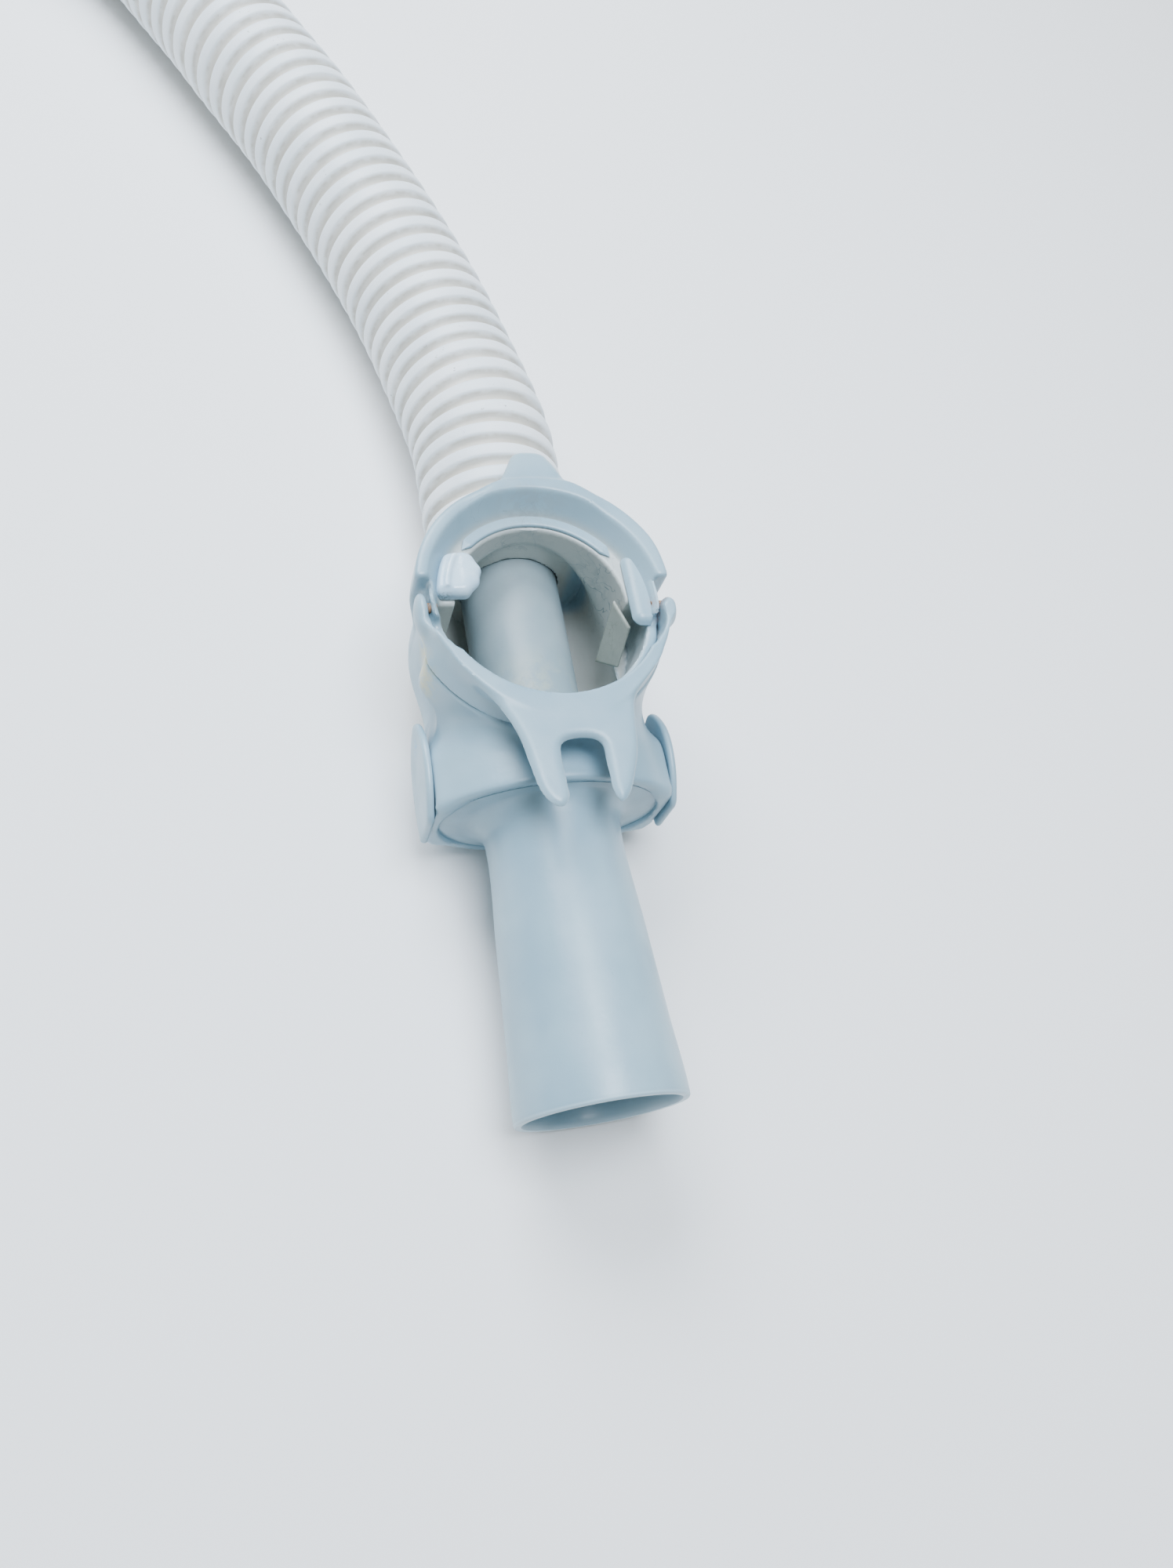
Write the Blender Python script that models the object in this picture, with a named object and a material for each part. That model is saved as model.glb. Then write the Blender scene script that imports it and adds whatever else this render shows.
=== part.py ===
"""End fitting of a pool cleaner's suction line, lying mouth up, with one section of its ribbed hose.

Metres. +X right, +Y along the pipe towards the hose, +Z out of the fitting's mouth.
The origin is on the floor, under the middle of the fitting.
"""

from math import acos, cos, pi, radians, sin, tan

import bpy
import numpy as np
from mathutils import Vector

# The pipe's axis and the clearance that touching pieces keep.
AXIS_Z = 0.0290
GAP = 0.0003
ROUND = 56

# Stations along Y, from the spigot's open end to the end of the swivel sleeve.
SPIGOT_END_Y = -0.1125
SPIGOT_ROOT_Y = -0.0340
COLLAR_EDGE_Y = -0.0220
FLANGE_REAR_Y = -0.0120
BOSS_REAR_Y = 0.0040
MOUTH_Y = 0.0345
SOCKET_FLOOR_Y = 0.0640
HOSE_START_Y = 0.0800
SLEEVE_END_Y = 0.1125

# Body: half-width and depth below the axis of the bell at a few stations. Its top is flatter.
BELL_TOP = 0.0282
BELL = (
    (COLLAR_EDGE_Y, 0.0386, 0.0290),
    (-0.0205, 0.0395, 0.0298),
    (-0.0090, 0.0395, 0.0298),
    (-0.0030, 0.0382, 0.0297),
    (0.0050, 0.0356, 0.0296),
    (0.0170, 0.0337, 0.0295),
    (MOUTH_Y, 0.0315, 0.0292),
    (0.0530, 0.0290, 0.0280),
    (0.0700, 0.0272, 0.0266),
    (HOSE_START_Y - GAP, 0.0258, 0.0258),
)
FLANGE_CAVITY = (0.0345, 0.0250)
BOSS_BORE_R = 0.0240

# Drum: the round mouth, its walls and the ledge inside it.
RIM_Z = 0.0696
SIDE_WALL_R = 0.0354
DRUM_R = SIDE_WALL_R + 0.0006
SIDE_WALL_Y = 0.0280
REAR_RIM_R = SIDE_WALL_R + 0.0044
REAR_RIM_Y = 0.0395
REAR_RIM_Z = 0.0300
FRONT_WALL_TOP_Z = 0.0620
CHAMBER_R = SIDE_WALL_R - 0.0084
CHAMBER_ENDS_Y = (0.0085, 0.0612)
SHELL_WALL = 0.0030
FLOOR_WALL = 0.0042
LEDGE_Z = 0.0618
LEDGE_R = SIDE_WALL_R - 0.0039
MOUTH_R = SIDE_WALL_R + 0.0008
FRONT_BORE_R = DRUM_R - 0.0030
FRONT_BORE_Z = 0.0400

# Tongue behind the rim: sections of (station, left, right, underside, top).
TONGUE = (
    (0.0680, -0.0150, 0.0170, 0.0480, 0.0690),
    (0.0770, -0.0080, 0.0135, 0.0542, 0.0680),
    (0.0840, -0.0045, 0.0115, 0.0560, 0.0665),
    (0.0905, -0.0010, 0.0085, 0.0590, 0.0645),
)

# Pieces in the mouth. Each pivot block has its arc in degrees, inner x and top.
# The baffle is a flat sheet that leans over to the right wall. Each corner has its degrees
# round the mouth, its step out from the chamber's bore and its height.
BAFFLE_CORNERS = (
    (-14.74, -0.0034, 0.0360),
    (-23.88, 0.0026, 0.0450),
    (-13.02, 0.0018, 0.0575),
    (8.10, -0.0021, 0.0575),
)
BAFFLE_THICK = 0.0012
RAIL_R = LEDGE_R - 0.0039
RAIL_ARC = (34, 140)
RAIL_TOP_Z = 0.0646
PIVOT_BLOCK_LEFT = (148, 190, 0.0135 - LEDGE_R, 0.0668)
PIVOT_BLOCK_RIGHT = (26, -12, LEDGE_R - 0.0090, 0.0662)

# Bail with its fork, and the pivot across the mouth that it turns on.
PIVOT_Y = 0.0320
PIVOT_Z = 0.0640
PIN_R = 0.0015
EAR_R = 0.0042
BAIL_INNER_R = SIDE_WALL_R + 0.0004
BAIL_WALL_R = SIDE_WALL_R + 0.0010
BAIL_OUTER_R = BAIL_WALL_R + 0.0022
EAR_OUTER_X = BAIL_OUTER_R + 0.0013
BAIL_PLATE_Z = 0.0662
BAIL_WALL_Z = 0.0577
FORK_SLOT_R = 0.0065
FORK_SLOT_Y = -0.0205
FORK_TIP_Y = -0.0345

# Squeeze tabs on the collar: a plate, a rib with two trunnions, and a hook in front of the spigot's flange.
TAB_INNER_X = 0.0372
TAB_OUTER_X = 0.0399
TAB_PIVOT_X = 0.0359
TAB_PIVOT_Y = -0.0060
TAB_PRESS = 8.0
TAB_LEAF = (
    (-0.0250, 0.0215),
    (-0.0238, 0.0202),
    (-0.0120, 0.0190),
    (0.0000, 0.0208),
    (0.0060, 0.0262),
    (0.0092, 0.0325),
    (0.0094, 0.0350),
    (0.0078, 0.0378),
    (0.0020, 0.0428),
    (-0.0060, 0.0448),
    (-0.0160, 0.0430),
    (-0.0240, 0.0378),
    (-0.0250, 0.0365),
)
TRUNNION_R = 0.0011
TRUNNION_Z = (0.0196, 0.0384)
RIB_X = 0.0347
RIB_Y = (-0.0082, -0.0038)
RIB_Z = (0.0213, 0.0367)
HOOK_X = 0.0328
HOOK_Y = (-0.0222, -0.0194)
HOOK_Z = (0.0224, 0.0356)

# Pipe pieces. The spigot's cove runs out to its oval flange: (station, half-width, half-height).
SPIGOT_END_R = 0.0253
SPIGOT_ROOT_R = 0.0209
SPIGOT_WALL = 0.0025
SPIGOT_COVE = (
    (-0.0285, 0.0211, 0.0211),
    (-0.0260, 0.0218, 0.0216),
    (-0.0240, 0.0233, 0.0223),
    (-0.0226, 0.0254, 0.0231),
    (-0.0216, 0.0282, 0.0237),
    (-0.0209, 0.0314, 0.0243),
    (-0.0206, 0.0321, 0.0244),
    (-0.0190, 0.0324, 0.0245),
)
FLANGE_FRONT_Y = -0.0190
TUBE_START_Y = -0.0180
TUBE_R = 0.0164
TUBE_WALL = 0.0022
TUBE_BORE_R = TUBE_R - TUBE_WALL
SLEEVE_WALL = 0.0026
SLEEVE_R = TUBE_R + SLEEVE_WALL
RING_WIDTH = 0.0033
SOCKET_R = SLEEVE_R + RING_WIDTH
SLEEVE_FLANGE_R = SOCKET_R - 0.0004
SEAL_LENGTH = 0.0017
WASHER = 0.0014
SLEEVE_FLANGE = 0.0025
SWIVEL_SEAL_LENGTH = 0.0029
HOSE_R = 0.0250

# Hose: one section of suction hose. It leaves the sleeve straight, sinks to the floor and
# lies in one open turn.
HOSE_ROUTE = (
    (0.000, SLEEVE_END_Y + GAP, AXIS_Z),
    (0.000, SLEEVE_END_Y + 0.007, AXIS_Z),
    (-0.002, 0.134, 0.0283),
    (-0.006, 0.156, 0.0264),
    (-0.013, 0.186, 0.0254),
    (-0.023, 0.217, 0.0252),
    (-0.035, 0.248, 0.0252),
    (-0.049, 0.281, 0.0252),
    (-0.066, 0.314, 0.0252),
    (-0.084, 0.349, 0.0252),
    (-0.120, 0.406, 0.0252),
    (-0.179, 0.450, 0.0252),
    (-0.250, 0.470, 0.0252),
    (-0.322, 0.464, 0.0252),
    (-0.388, 0.434, 0.0252),
    (-0.440, 0.382, 0.0256),
    (-0.469, 0.316, 0.0266),
    (-0.475, 0.250, 0.0274),
    (-0.475, 0.200, 0.0274),
    (-0.475, 0.152, 0.0274),
)
HOSE_STEP = 0.075
CUFF_LENGTH = 0.046
CUFF_GRIP = 0.012
CUFF_R = HOSE_R + 0.0020
CUFF_SHANK_R = HOSE_R + 0.0002
CUFF_BORE_R = HOSE_R - 0.0060
CUFF_MOUTH_R = CUFF_SHANK_R - 0.0037


def clear_scene():
    for item in list(bpy.data.objects):
        bpy.data.objects.remove(item, do_unlink=True)


def plastic(name, colour, roughness, metallic=0.0):
    material = bpy.data.materials.new(name)
    material.use_nodes = True
    shader = material.node_tree.nodes["Principled BSDF"]
    shader.inputs["Base Color"].default_value = (*colour, 1.0)
    shader.inputs["Roughness"].default_value = roughness
    shader.inputs["Metallic"].default_value = metallic
    return material


def add_solid(name, points, faces, material=None):
    mesh = bpy.data.meshes.new(name)
    mesh.from_pydata([tuple(p) for p in points], [], faces)
    mesh.validate()
    item = bpy.data.objects.new(name, mesh)
    bpy.context.scene.collection.objects.link(item)
    if material is None:
        item.hide_render = True
        item.display_type = "WIRE"
    else:
        mesh.materials.append(material)
        mesh.shade_smooth()
        mesh.set_sharp_from_angle(angle=radians(35))
    return item


def volume(points, faces):
    """Six times the signed volume, to tell whether the faces look out."""
    total = 0.0
    for face in faces:
        for i in range(1, len(face) - 1):
            a, b, c = (Vector(points[k]) for k in (face[0], face[i], face[i + 1]))
            total += a.dot(b.cross(c))
    return total


def loft(name, sections, material=None):
    """Joins sections of equal point count into one closed solid with flat ends."""
    count = len(sections[0])
    points = [p for section in sections for p in section]
    faces = []
    for s in range(len(sections) - 1):
        for i in range(count):
            j = (i + 1) % count
            faces.append((s * count + i, s * count + j, (s + 1) * count + j, (s + 1) * count + i))
    faces.append(tuple(reversed(range(count))))
    faces.append(tuple(range((len(sections) - 1) * count, len(sections) * count)))
    if volume(points, faces) < 0:
        faces = [tuple(reversed(face)) for face in faces]
    return add_solid(name, points, faces, material)


def turned_ring(name, profile, centre, axis, material=None, steps=ROUND):
    """Turns a closed outline of (radius, distance along the axis) all the way round."""
    turn = Vector((0, 0, 1)).rotation_difference(Vector(axis)).to_matrix()
    count = len(profile)
    points = []
    for k in range(steps):
        angle = 2 * pi * k / steps
        for radius, along in profile:
            points.append(Vector(centre) + turn @ Vector((radius * cos(angle), radius * sin(angle), along)))
    faces = []
    for k in range(steps):
        after = (k + 1) % steps
        for i in range(count):
            j = (i + 1) % count
            faces.append((k * count + i, k * count + j, after * count + j, after * count + i))
    if volume(points, faces) < 0:
        faces = [tuple(reversed(face)) for face in faces]
    return add_solid(name, points, faces, material)


def ellipse(y, half_width, down, up=None, steps=ROUND):
    """A ring of points round the pipe's axis at station y."""
    ring = []
    for k in range(steps):
        angle = 2 * pi * (k + 0.5) / steps
        height = sin(angle) * ((up or down) if sin(angle) > 0 else down)
        ring.append((half_width * cos(angle), y, AXIS_Z + height))
    return ring


def rod(name, radii, centre, axis, material=None, steps=ROUND):
    """A solid turned from (radius, distance along the axis) pairs."""
    turn = Vector((0, 0, 1)).rotation_difference(Vector(axis)).to_matrix()
    sections = []
    for radius, along in radii:
        ring = []
        for k in range(steps):
            angle = 2 * pi * (k + 0.5) / steps
            ring.append(Vector(centre) + turn @ Vector((radius * cos(angle), radius * sin(angle), along)))
        sections.append(ring)
    return loft(name, sections, material)


def arc(centre, radius, start, end, steps):
    """Points of an arc, angles in degrees."""
    return [
        (
            centre[0] + radius * cos(radians(start + (end - start) * k / steps)),
            centre[1] + radius * sin(radians(start + (end - start) * k / steps)),
        )
        for k in range(steps + 1)
    ]


def prism(name, outline, low, high, material=None):
    """Extrudes an outline in the XY plane from z = low to z = high."""
    return loft(name, [[(x, y, z) for x, y in outline] for z in (low, high)], material)


def box(name, low, high, material=None):
    (x0, y0, z0), (x1, y1, z1) = low, high
    return prism(name, [(x0, y0), (x1, y0), (x1, y1), (x0, y1)], z0, z1, material)


def side_box(name, side, low, high, material=None):
    """A box given for the right side, or its mirror image for the left (side = -1)."""
    xs = sorted((side * low[0], side * high[0]))
    return box(name, (xs[0], low[1], low[2]), (xs[1], high[1], high[2]), material)


def combine(target, other, operation):
    step = target.modifiers.new(other.name, "BOOLEAN")
    step.operation = operation
    step.solver = "EXACT"
    step.object = other


def join(target, *others):
    for other in others:
        combine(target, other, "UNION")


def cut(target, *others):
    for other in others:
        combine(target, other, "DIFFERENCE")


def chord_segment(radius, y_from, steps=32):
    """The part of the mouth's circle that lies behind y_from."""
    reach = acos(max(-1.0, min(1.0, (y_from - MOUTH_Y) / radius)))
    degrees = reach * 180 / pi
    return arc((0, MOUTH_Y), radius, 90 - degrees, 90 + degrees, steps)


def pipe_rod(name, radii, material=None):
    """A rod on the pipe's axis, from (radius, station) pairs."""
    return rod(name, radii, (0, 0, AXIS_Z), (0, 1, 0), material)


def pipe_ring(name, inner, outer, y_from, y_to, material):
    outline = [(inner, y_from), (outer, y_from), (outer, y_to), (inner, y_to)]
    return turned_ring(name, outline, (0, 0, AXIS_Z), (0, 1, 0), material)


def bell_size(y):
    """Half-width and depth of the bell at station y."""
    stations = [row[0] for row in BELL]
    return tuple(float(np.interp(y, stations, [row[k] for row in BELL])) for k in (1, 2))


def chamber_section(y):
    half_width, depth = bell_size(y)
    return ellipse(y, half_width - SHELL_WALL, depth - FLOOR_WALL, BELL_TOP - SHELL_WALL)


def grown(block, gap):
    """Corners of a box from its inner x, (y, y) and (z, z), grown by a gap and run out past the collar."""
    x, (y0, y1), (z0, z1) = block
    return (x - gap, y0 - gap, z0 - gap), (0.045, y1 + gap, z1 + gap)


def pivot_rod(name, side, radius, x_from, x_to, material=None, steps=20):
    """A rod on the bail's pivot axis, on one side."""
    return rod(name, [(radius, x_from), (radius, x_to)], (0, PIVOT_Y, PIVOT_Z), (side, 0, 0), material, steps)


def tab_rod(name, side, radius, z_from, z_to):
    """A rod on a tab's pivot axis."""
    centre = (side * TAB_PIVOT_X, TAB_PIVOT_Y, 0)
    return rod(name, [(radius, z_from), (radius, z_to)], centre, (0, 0, 1), steps=20)


def tab_recess(side, label):
    """Room for a tab's plate. Behind the pivot it slopes in, so that the pad can be pressed."""
    inner = TAB_INNER_X - GAP
    outer = TAB_OUTER_X + 0.006
    front = min(y for y, z in TAB_LEAF) - 0.005
    rear = max(y for y, z in TAB_LEAF) + 0.0026
    pressed = inner - (rear - TAB_PIVOT_Y) * tan(radians(TAB_PRESS + 1.5))
    outline = [(outer, front), (outer, rear), (pressed, rear), (inner, TAB_PIVOT_Y), (inner, front)]
    low = min(z for y, z in TAB_LEAF) - 0.009
    high = max(z for y, z in TAB_LEAF) + 0.0032
    return prism(f"tab_recess_{label}", [(side * x, y) for x, y in outline], low, high)


def make_chamber_body(shell):
    body = loft("chamber_body", [ellipse(y, w, d, min(d, BELL_TOP)) for y, w, d in BELL], shell)
    mouth = (0, MOUTH_Y, 0)
    up = (0, 0, 1)
    wall = rod("drum_wall", [(DRUM_R, 0.024), (DRUM_R, FRONT_WALL_TOP_Z)], mouth, up)
    side_wall = prism("side_wall", chord_segment(SIDE_WALL_R, SIDE_WALL_Y), FRONT_WALL_TOP_Z - 0.004, RIM_Z)
    rear_wall = prism("rear_wall", chord_segment(REAR_RIM_R, REAR_RIM_Y), REAR_RIM_Z, RIM_Z)
    tongue = loft(
        "tongue",
        [
            [(x0, y, z0), (x1, y, z0), (x1, y, z1), (x0, y, z1)]
            for y, x0, x1, z0, z1 in TONGUE
        ],
    )
    join(body, wall, side_wall, rear_wall, tongue)

    cut(
        body,
        box("floor_clip", (-0.06, -0.05, -0.02), (0.06, 0.10, 0.0)),
        loft("chamber", [chamber_section(y) for y in np.linspace(*CHAMBER_ENDS_Y, 6)]),
        rod("mouth_bore", [(CHAMBER_R, AXIS_Z), (CHAMBER_R, 0.08)], mouth, up),
        rod("mouth_cone", [(LEDGE_R, LEDGE_Z), (MOUTH_R + 0.0002, RIM_Z + 0.0004)], mouth, up),
        prism("front_bore", arc((0, MOUTH_Y), FRONT_BORE_R, 180, 360, 30), FRONT_BORE_Z, RIM_Z + 0.01),
        pipe_rod("hose_socket", [(SOCKET_R, SOCKET_FLOOR_Y), (SOCKET_R, HOSE_START_Y + 0.01)]),
        pipe_rod("tube_hole", [(TUBE_R + GAP, FLANGE_REAR_Y), (TUBE_R + GAP, SOCKET_FLOOR_Y + 0.006)]),
        loft("flange_cavity", [ellipse(y, *FLANGE_CAVITY) for y in (COLLAR_EDGE_Y - 0.008, FLANGE_REAR_Y)]),
        pipe_rod("boss_bore", [(BOSS_BORE_R, FLANGE_REAR_Y - 0.008), (BOSS_BORE_R, BOSS_REAR_Y)]),
    )
    hook = (HOOK_X, (COLLAR_EDGE_Y - 0.008, HOOK_Y[1]), HOOK_Z)
    trunnion_hole = (TRUNNION_Z[0] - 0.0004, TRUNNION_Z[1] + 0.0004)
    for side, label in ((1, "right"), (-1, "left")):
        cut(
            body,
            tab_recess(side, label),
            side_box(f"rib_recess_{label}", side, *grown((RIB_X, RIB_Y, RIB_Z), 0.0005)),
            side_box(f"hook_notch_{label}", side, *grown(hook, 0.0006)),
            tab_rod(f"trunnion_hole_{label}", side, TRUNNION_R + GAP, *trunnion_hole),
            pivot_rod(f"pin_hole_{label}", side, PIN_R + GAP, CHAMBER_R - 0.001, EAR_OUTER_X + 0.005),
        )


def fork_outline():
    """Plan of the bail's plate: half ring, neck and two fingers. The left half mirrors the right."""
    ring = arc((0, MOUTH_Y), BAIL_OUTER_R, -4, -57, 14)
    neck = [(0.0222, 0.0022), (0.0203, -0.0016), (0.0194, -0.0060), (0.0188, -0.0130)]
    finger = [(0.0172, -0.0200), (0.0156, -0.0260), (0.0140, -0.0310), (0.0120, -0.0338)]
    finger += [(0.0096, FORK_TIP_Y), (0.0074, -0.0335)]
    right = ring + neck + finger + [(FORK_SLOT_R, -0.0305)] + arc((0, FORK_SLOT_Y), FORK_SLOT_R, 0, 82, 6)
    left = [(-x, y) for x, y in reversed(right)]
    inner = arc((0, MOUTH_Y), BAIL_INNER_R, 184, 356, 40)
    return right + left + inner


def make_latch_yoke(shell):
    yoke = prism("latch_yoke", fork_outline(), BAIL_PLATE_Z, RIM_Z, shell)
    wall = arc((0, MOUTH_Y), BAIL_OUTER_R, 193, 347, 36) + arc((0, MOUTH_Y), BAIL_WALL_R, 347, 193, 36)
    join(yoke, prism("bail_wall", wall, BAIL_WALL_Z, BAIL_PLATE_Z + 0.001))
    # Raised, the plate's ends swing down beside the drum's side walls, so they stay outside them.
    swing = RIM_Z - PIVOT_Z + 0.0014
    low = (-BAIL_INNER_R, PIVOT_Y - swing, BAIL_WALL_Z - 0.005)
    high = (BAIL_INNER_R, PIVOT_Y + swing, RIM_Z + 0.005)
    cut(yoke, box("side_clearance", low, high))
    for side, label in ((1, "right"), (-1, "left")):
        join(yoke, pivot_rod(f"ear_{label}", side, EAR_R, BAIL_WALL_R, EAR_OUTER_X, steps=28))
        hole = pivot_rod(f"ear_hole_{label}", side, PIN_R + GAP, BAIL_WALL_R - 0.0014, EAR_OUTER_X + 0.002)
        cut(yoke, hole)


def make_mouth_pieces(shell, white, clear, steel):
    pin_start = LEDGE_R - 0.0057
    start, end = RAIL_ARC
    rail = arc((0, MOUTH_Y), LEDGE_R - GAP, start, end, 24) + arc((0, MOUTH_Y), RAIL_R, end, start, 24)
    prism("mouth_seat_rail", rail, LEDGE_Z + GAP, RAIL_TOP_Z, shell)
    for name, material, (start, end, inner_x, top) in (
        ("pin_boss_left", white, PIVOT_BLOCK_LEFT),
        ("pin_boss_right", clear, PIVOT_BLOCK_RIGHT),
    ):
        rim = arc((0, MOUTH_Y), LEDGE_R - GAP, start, end, 12)
        outline = [(inner_x, rim[0][1]), *rim, (inner_x, rim[-1][1])]
        boss = prism(name, outline, LEDGE_Z + GAP, top, material)
        side = 1 if inner_x > 0 else -1
        cut(boss, pivot_rod(f"{name}_hole", side, PIN_R + GAP, pin_start - GAP, SIDE_WALL_R))
        pivot_rod(name.replace("pin_boss", "yoke_pin"), side, PIN_R, pin_start, EAR_OUTER_X - 0.0001, steel)


def make_spigot(shell):
    cavity = [size - GAP for size in FLANGE_CAVITY]
    stations = [(SPIGOT_END_Y, SPIGOT_END_R, SPIGOT_END_R), (SPIGOT_ROOT_Y, SPIGOT_ROOT_R, SPIGOT_ROOT_R)]
    stations += [*SPIGOT_COVE, (FLANGE_FRONT_Y, *cavity), (FLANGE_REAR_Y - GAP, *cavity)]
    spigot = loft("spigot_tube", [ellipse(y, w, d) for y, w, d in stations], shell)
    join(spigot, pipe_rod("spigot_boss", [(BOSS_BORE_R - GAP, -0.014), (BOSS_BORE_R - GAP, 0.0)]))
    bore = [
        (SPIGOT_END_R - SPIGOT_WALL, SPIGOT_END_Y - 0.0005),
        (SPIGOT_ROOT_R - SPIGOT_WALL, SPIGOT_ROOT_Y - 0.0030),
        (TUBE_BORE_R, TUBE_START_Y - GAP),
        (TUBE_BORE_R, TUBE_START_Y + 0.0010),
    ]
    cut(spigot, pipe_rod("spigot_bore", bore))
    cut(spigot, pipe_rod("tube_seat", [(TUBE_R + GAP, TUBE_START_Y - GAP), (TUBE_R + GAP, 0.001)]))


def make_tabs(shell):
    """Each tab is a leaf-shaped plate with a rib inside it. Its trunnions turn in the collar."""
    for side, label in ((1, "right"), (-1, "left")):
        plate = loft(
            f"release_tab_{label}",
            [[(side * x, y, z) for y, z in TAB_LEAF] for x in (TAB_INNER_X, TAB_OUTER_X)],
            shell,
        )
        root = TAB_INNER_X + 0.0002
        rib = side_box(f"tab_rib_{label}", side, (RIB_X, RIB_Y[0], RIB_Z[0]), (root, RIB_Y[1], RIB_Z[1]))
        trunnion = tab_rod(f"tab_trunnion_{label}", side, TRUNNION_R, *TRUNNION_Z)
        corners = (HOOK_X, HOOK_Y[0], HOOK_Z[0]), (root, HOOK_Y[1], HOOK_Z[1])
        hook = side_box(f"tab_hook_{label}", side, *corners)
        join(plate, rib, trunnion, hook)


def make_pipe_pieces(shell, clear, grey, rubber, ptfe):
    seal_end = SOCKET_FLOOR_Y + GAP + SEAL_LENGTH
    washer_end = seal_end + GAP + WASHER
    flange = washer_end + GAP
    flange_end = flange + SLEEVE_FLANGE
    swivel_seal_end = flange_end + GAP + SWIVEL_SEAL_LENGTH
    pipe_ring("inner_tube", TUBE_BORE_R, TUBE_R, TUBE_START_Y, washer_end - 0.0002, grey)
    pipe_ring("inner_tube_seal", TUBE_R + GAP, SLEEVE_FLANGE_R, SOCKET_FLOOR_Y + GAP, seal_end, rubber)
    pipe_ring("spigot_seal", TUBE_R + GAP, BOSS_BORE_R - 0.0004, GAP, BOSS_REAR_Y - GAP, rubber)
    pipe_ring("swivel_washer", TUBE_R + GAP, SLEEVE_FLANGE_R, seal_end + GAP, washer_end, ptfe)
    sleeve = [
        (TUBE_R, flange),
        (SLEEVE_FLANGE_R, flange),
        (SLEEVE_FLANGE_R, flange_end),
        (SLEEVE_R, flange_end),
        (SLEEVE_R, SLEEVE_END_Y - 0.0020),
        (SLEEVE_R - 0.0008, SLEEVE_END_Y),
        (TUBE_R, SLEEVE_END_Y),
    ]
    turned_ring("swivel_sleeve", sleeve, (0, 0, AXIS_Z), (0, 1, 0), grey)
    pipe_ring("swivel_seal", SLEEVE_R + GAP, SOCKET_R - GAP, flange_end + GAP, swivel_seal_end, rubber)
    ring_start = swivel_seal_end + GAP
    ring_end = HOSE_START_Y - 0.0004
    pipe_ring("swivel_retaining_ring", SLEEVE_R + GAP, SOCKET_R - GAP, ring_start, ring_end, shell)
    corners = []
    for degrees, step, height in BAFFLE_CORNERS:
        turn = degrees * pi / 180
        radius = CHAMBER_R + step
        corners.append(Vector((radius * cos(turn), MOUTH_Y + radius * sin(turn), height)))
    across = (corners[1] - corners[0]).cross(corners[3] - corners[0]).normalized() * BAFFLE_THICK / 2
    loft("baffle_plate", [[corner + side * across for corner in corners] for side in (-1, 1)], clear)


def smooth_route(route, step):
    """Catmull-Rom curve through the route's points, read at about even steps."""
    knots = np.array(route)
    knots = np.vstack([2 * knots[0] - knots[1], knots, 2 * knots[-1] - knots[-2]])
    fine = []
    for i in range(1, len(knots) - 2):
        t = np.linspace(0, 1, 24, endpoint=False)[:, None]
        a, b, c, d = knots[i - 1 : i + 3]
        bend = (2 * a - 5 * b + 4 * c - d) * t**2 + (3 * b - a - 3 * c + d) * t**3
        fine.append(0.5 * (2 * b + (c - a) * t + bend))
    fine = np.vstack([*fine, knots[-2:-1]])
    along = np.concatenate([[0], np.cumsum(np.linalg.norm(np.diff(fine, axis=0), axis=1))])
    even = np.linspace(0, along[-1], int(round(along[-1] / step)) + 1)
    return np.stack([np.interp(even, along, fine[:, k]) for k in range(3)], axis=1)


def make_hose(ribbed, cuff_plastic, rubber):
    pipe_ring("hose_grip_end", SLEEVE_R + GAP, HOSE_R, HOSE_START_Y, SLEEVE_END_Y, ribbed)
    points = np.vstack([HOSE_ROUTE[0], smooth_route(HOSE_ROUTE[1:-1], HOSE_STEP), HOSE_ROUTE[-1]])
    curve = bpy.data.curves.new("hose", "CURVE")
    curve.dimensions = "3D"
    curve.bevel_depth = HOSE_R
    curve.bevel_resolution = 4
    curve.use_fill_caps = True
    spline = curve.splines.new("POLY")
    spline.points.add(len(points) - 1)
    for target, point in zip(spline.points, points):
        target.co = (*point, 1.0)
    curve.materials.append(ribbed)
    bpy.context.scene.collection.objects.link(bpy.data.objects.new("hose", curve))

    end = Vector(points[-1])
    along = (end - Vector(points[-2])).normalized()
    cuff = [
        (CUFF_BORE_R, GAP),
        (CUFF_R - 0.0010, GAP),
        (CUFF_R, 0.0013),
        (CUFF_R, CUFF_GRIP),
        (CUFF_SHANK_R, CUFF_GRIP + 0.0020),
        (CUFF_SHANK_R - 0.0006, CUFF_LENGTH - 0.001),
        (CUFF_SHANK_R - 0.0014, CUFF_LENGTH),
        (CUFF_MOUTH_R, CUFF_LENGTH),
        (CUFF_MOUTH_R - 0.0015, CUFF_GRIP + 0.0040),
        (CUFF_BORE_R, CUFF_GRIP + 0.0020),
    ]
    turned_ring("end_cuff", cuff, end, along, cuff_plastic, steps=40)
    seal_r = CUFF_SHANK_R + 0.0004
    seal = [(seal_r, CUFF_GRIP + 0.0040), (seal_r + 0.0010, CUFF_GRIP + 0.0060), (seal_r, CUFF_GRIP + 0.0080)]
    turned_ring("end_cuff_seal", seal, end, along, rubber, steps=40)


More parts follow.
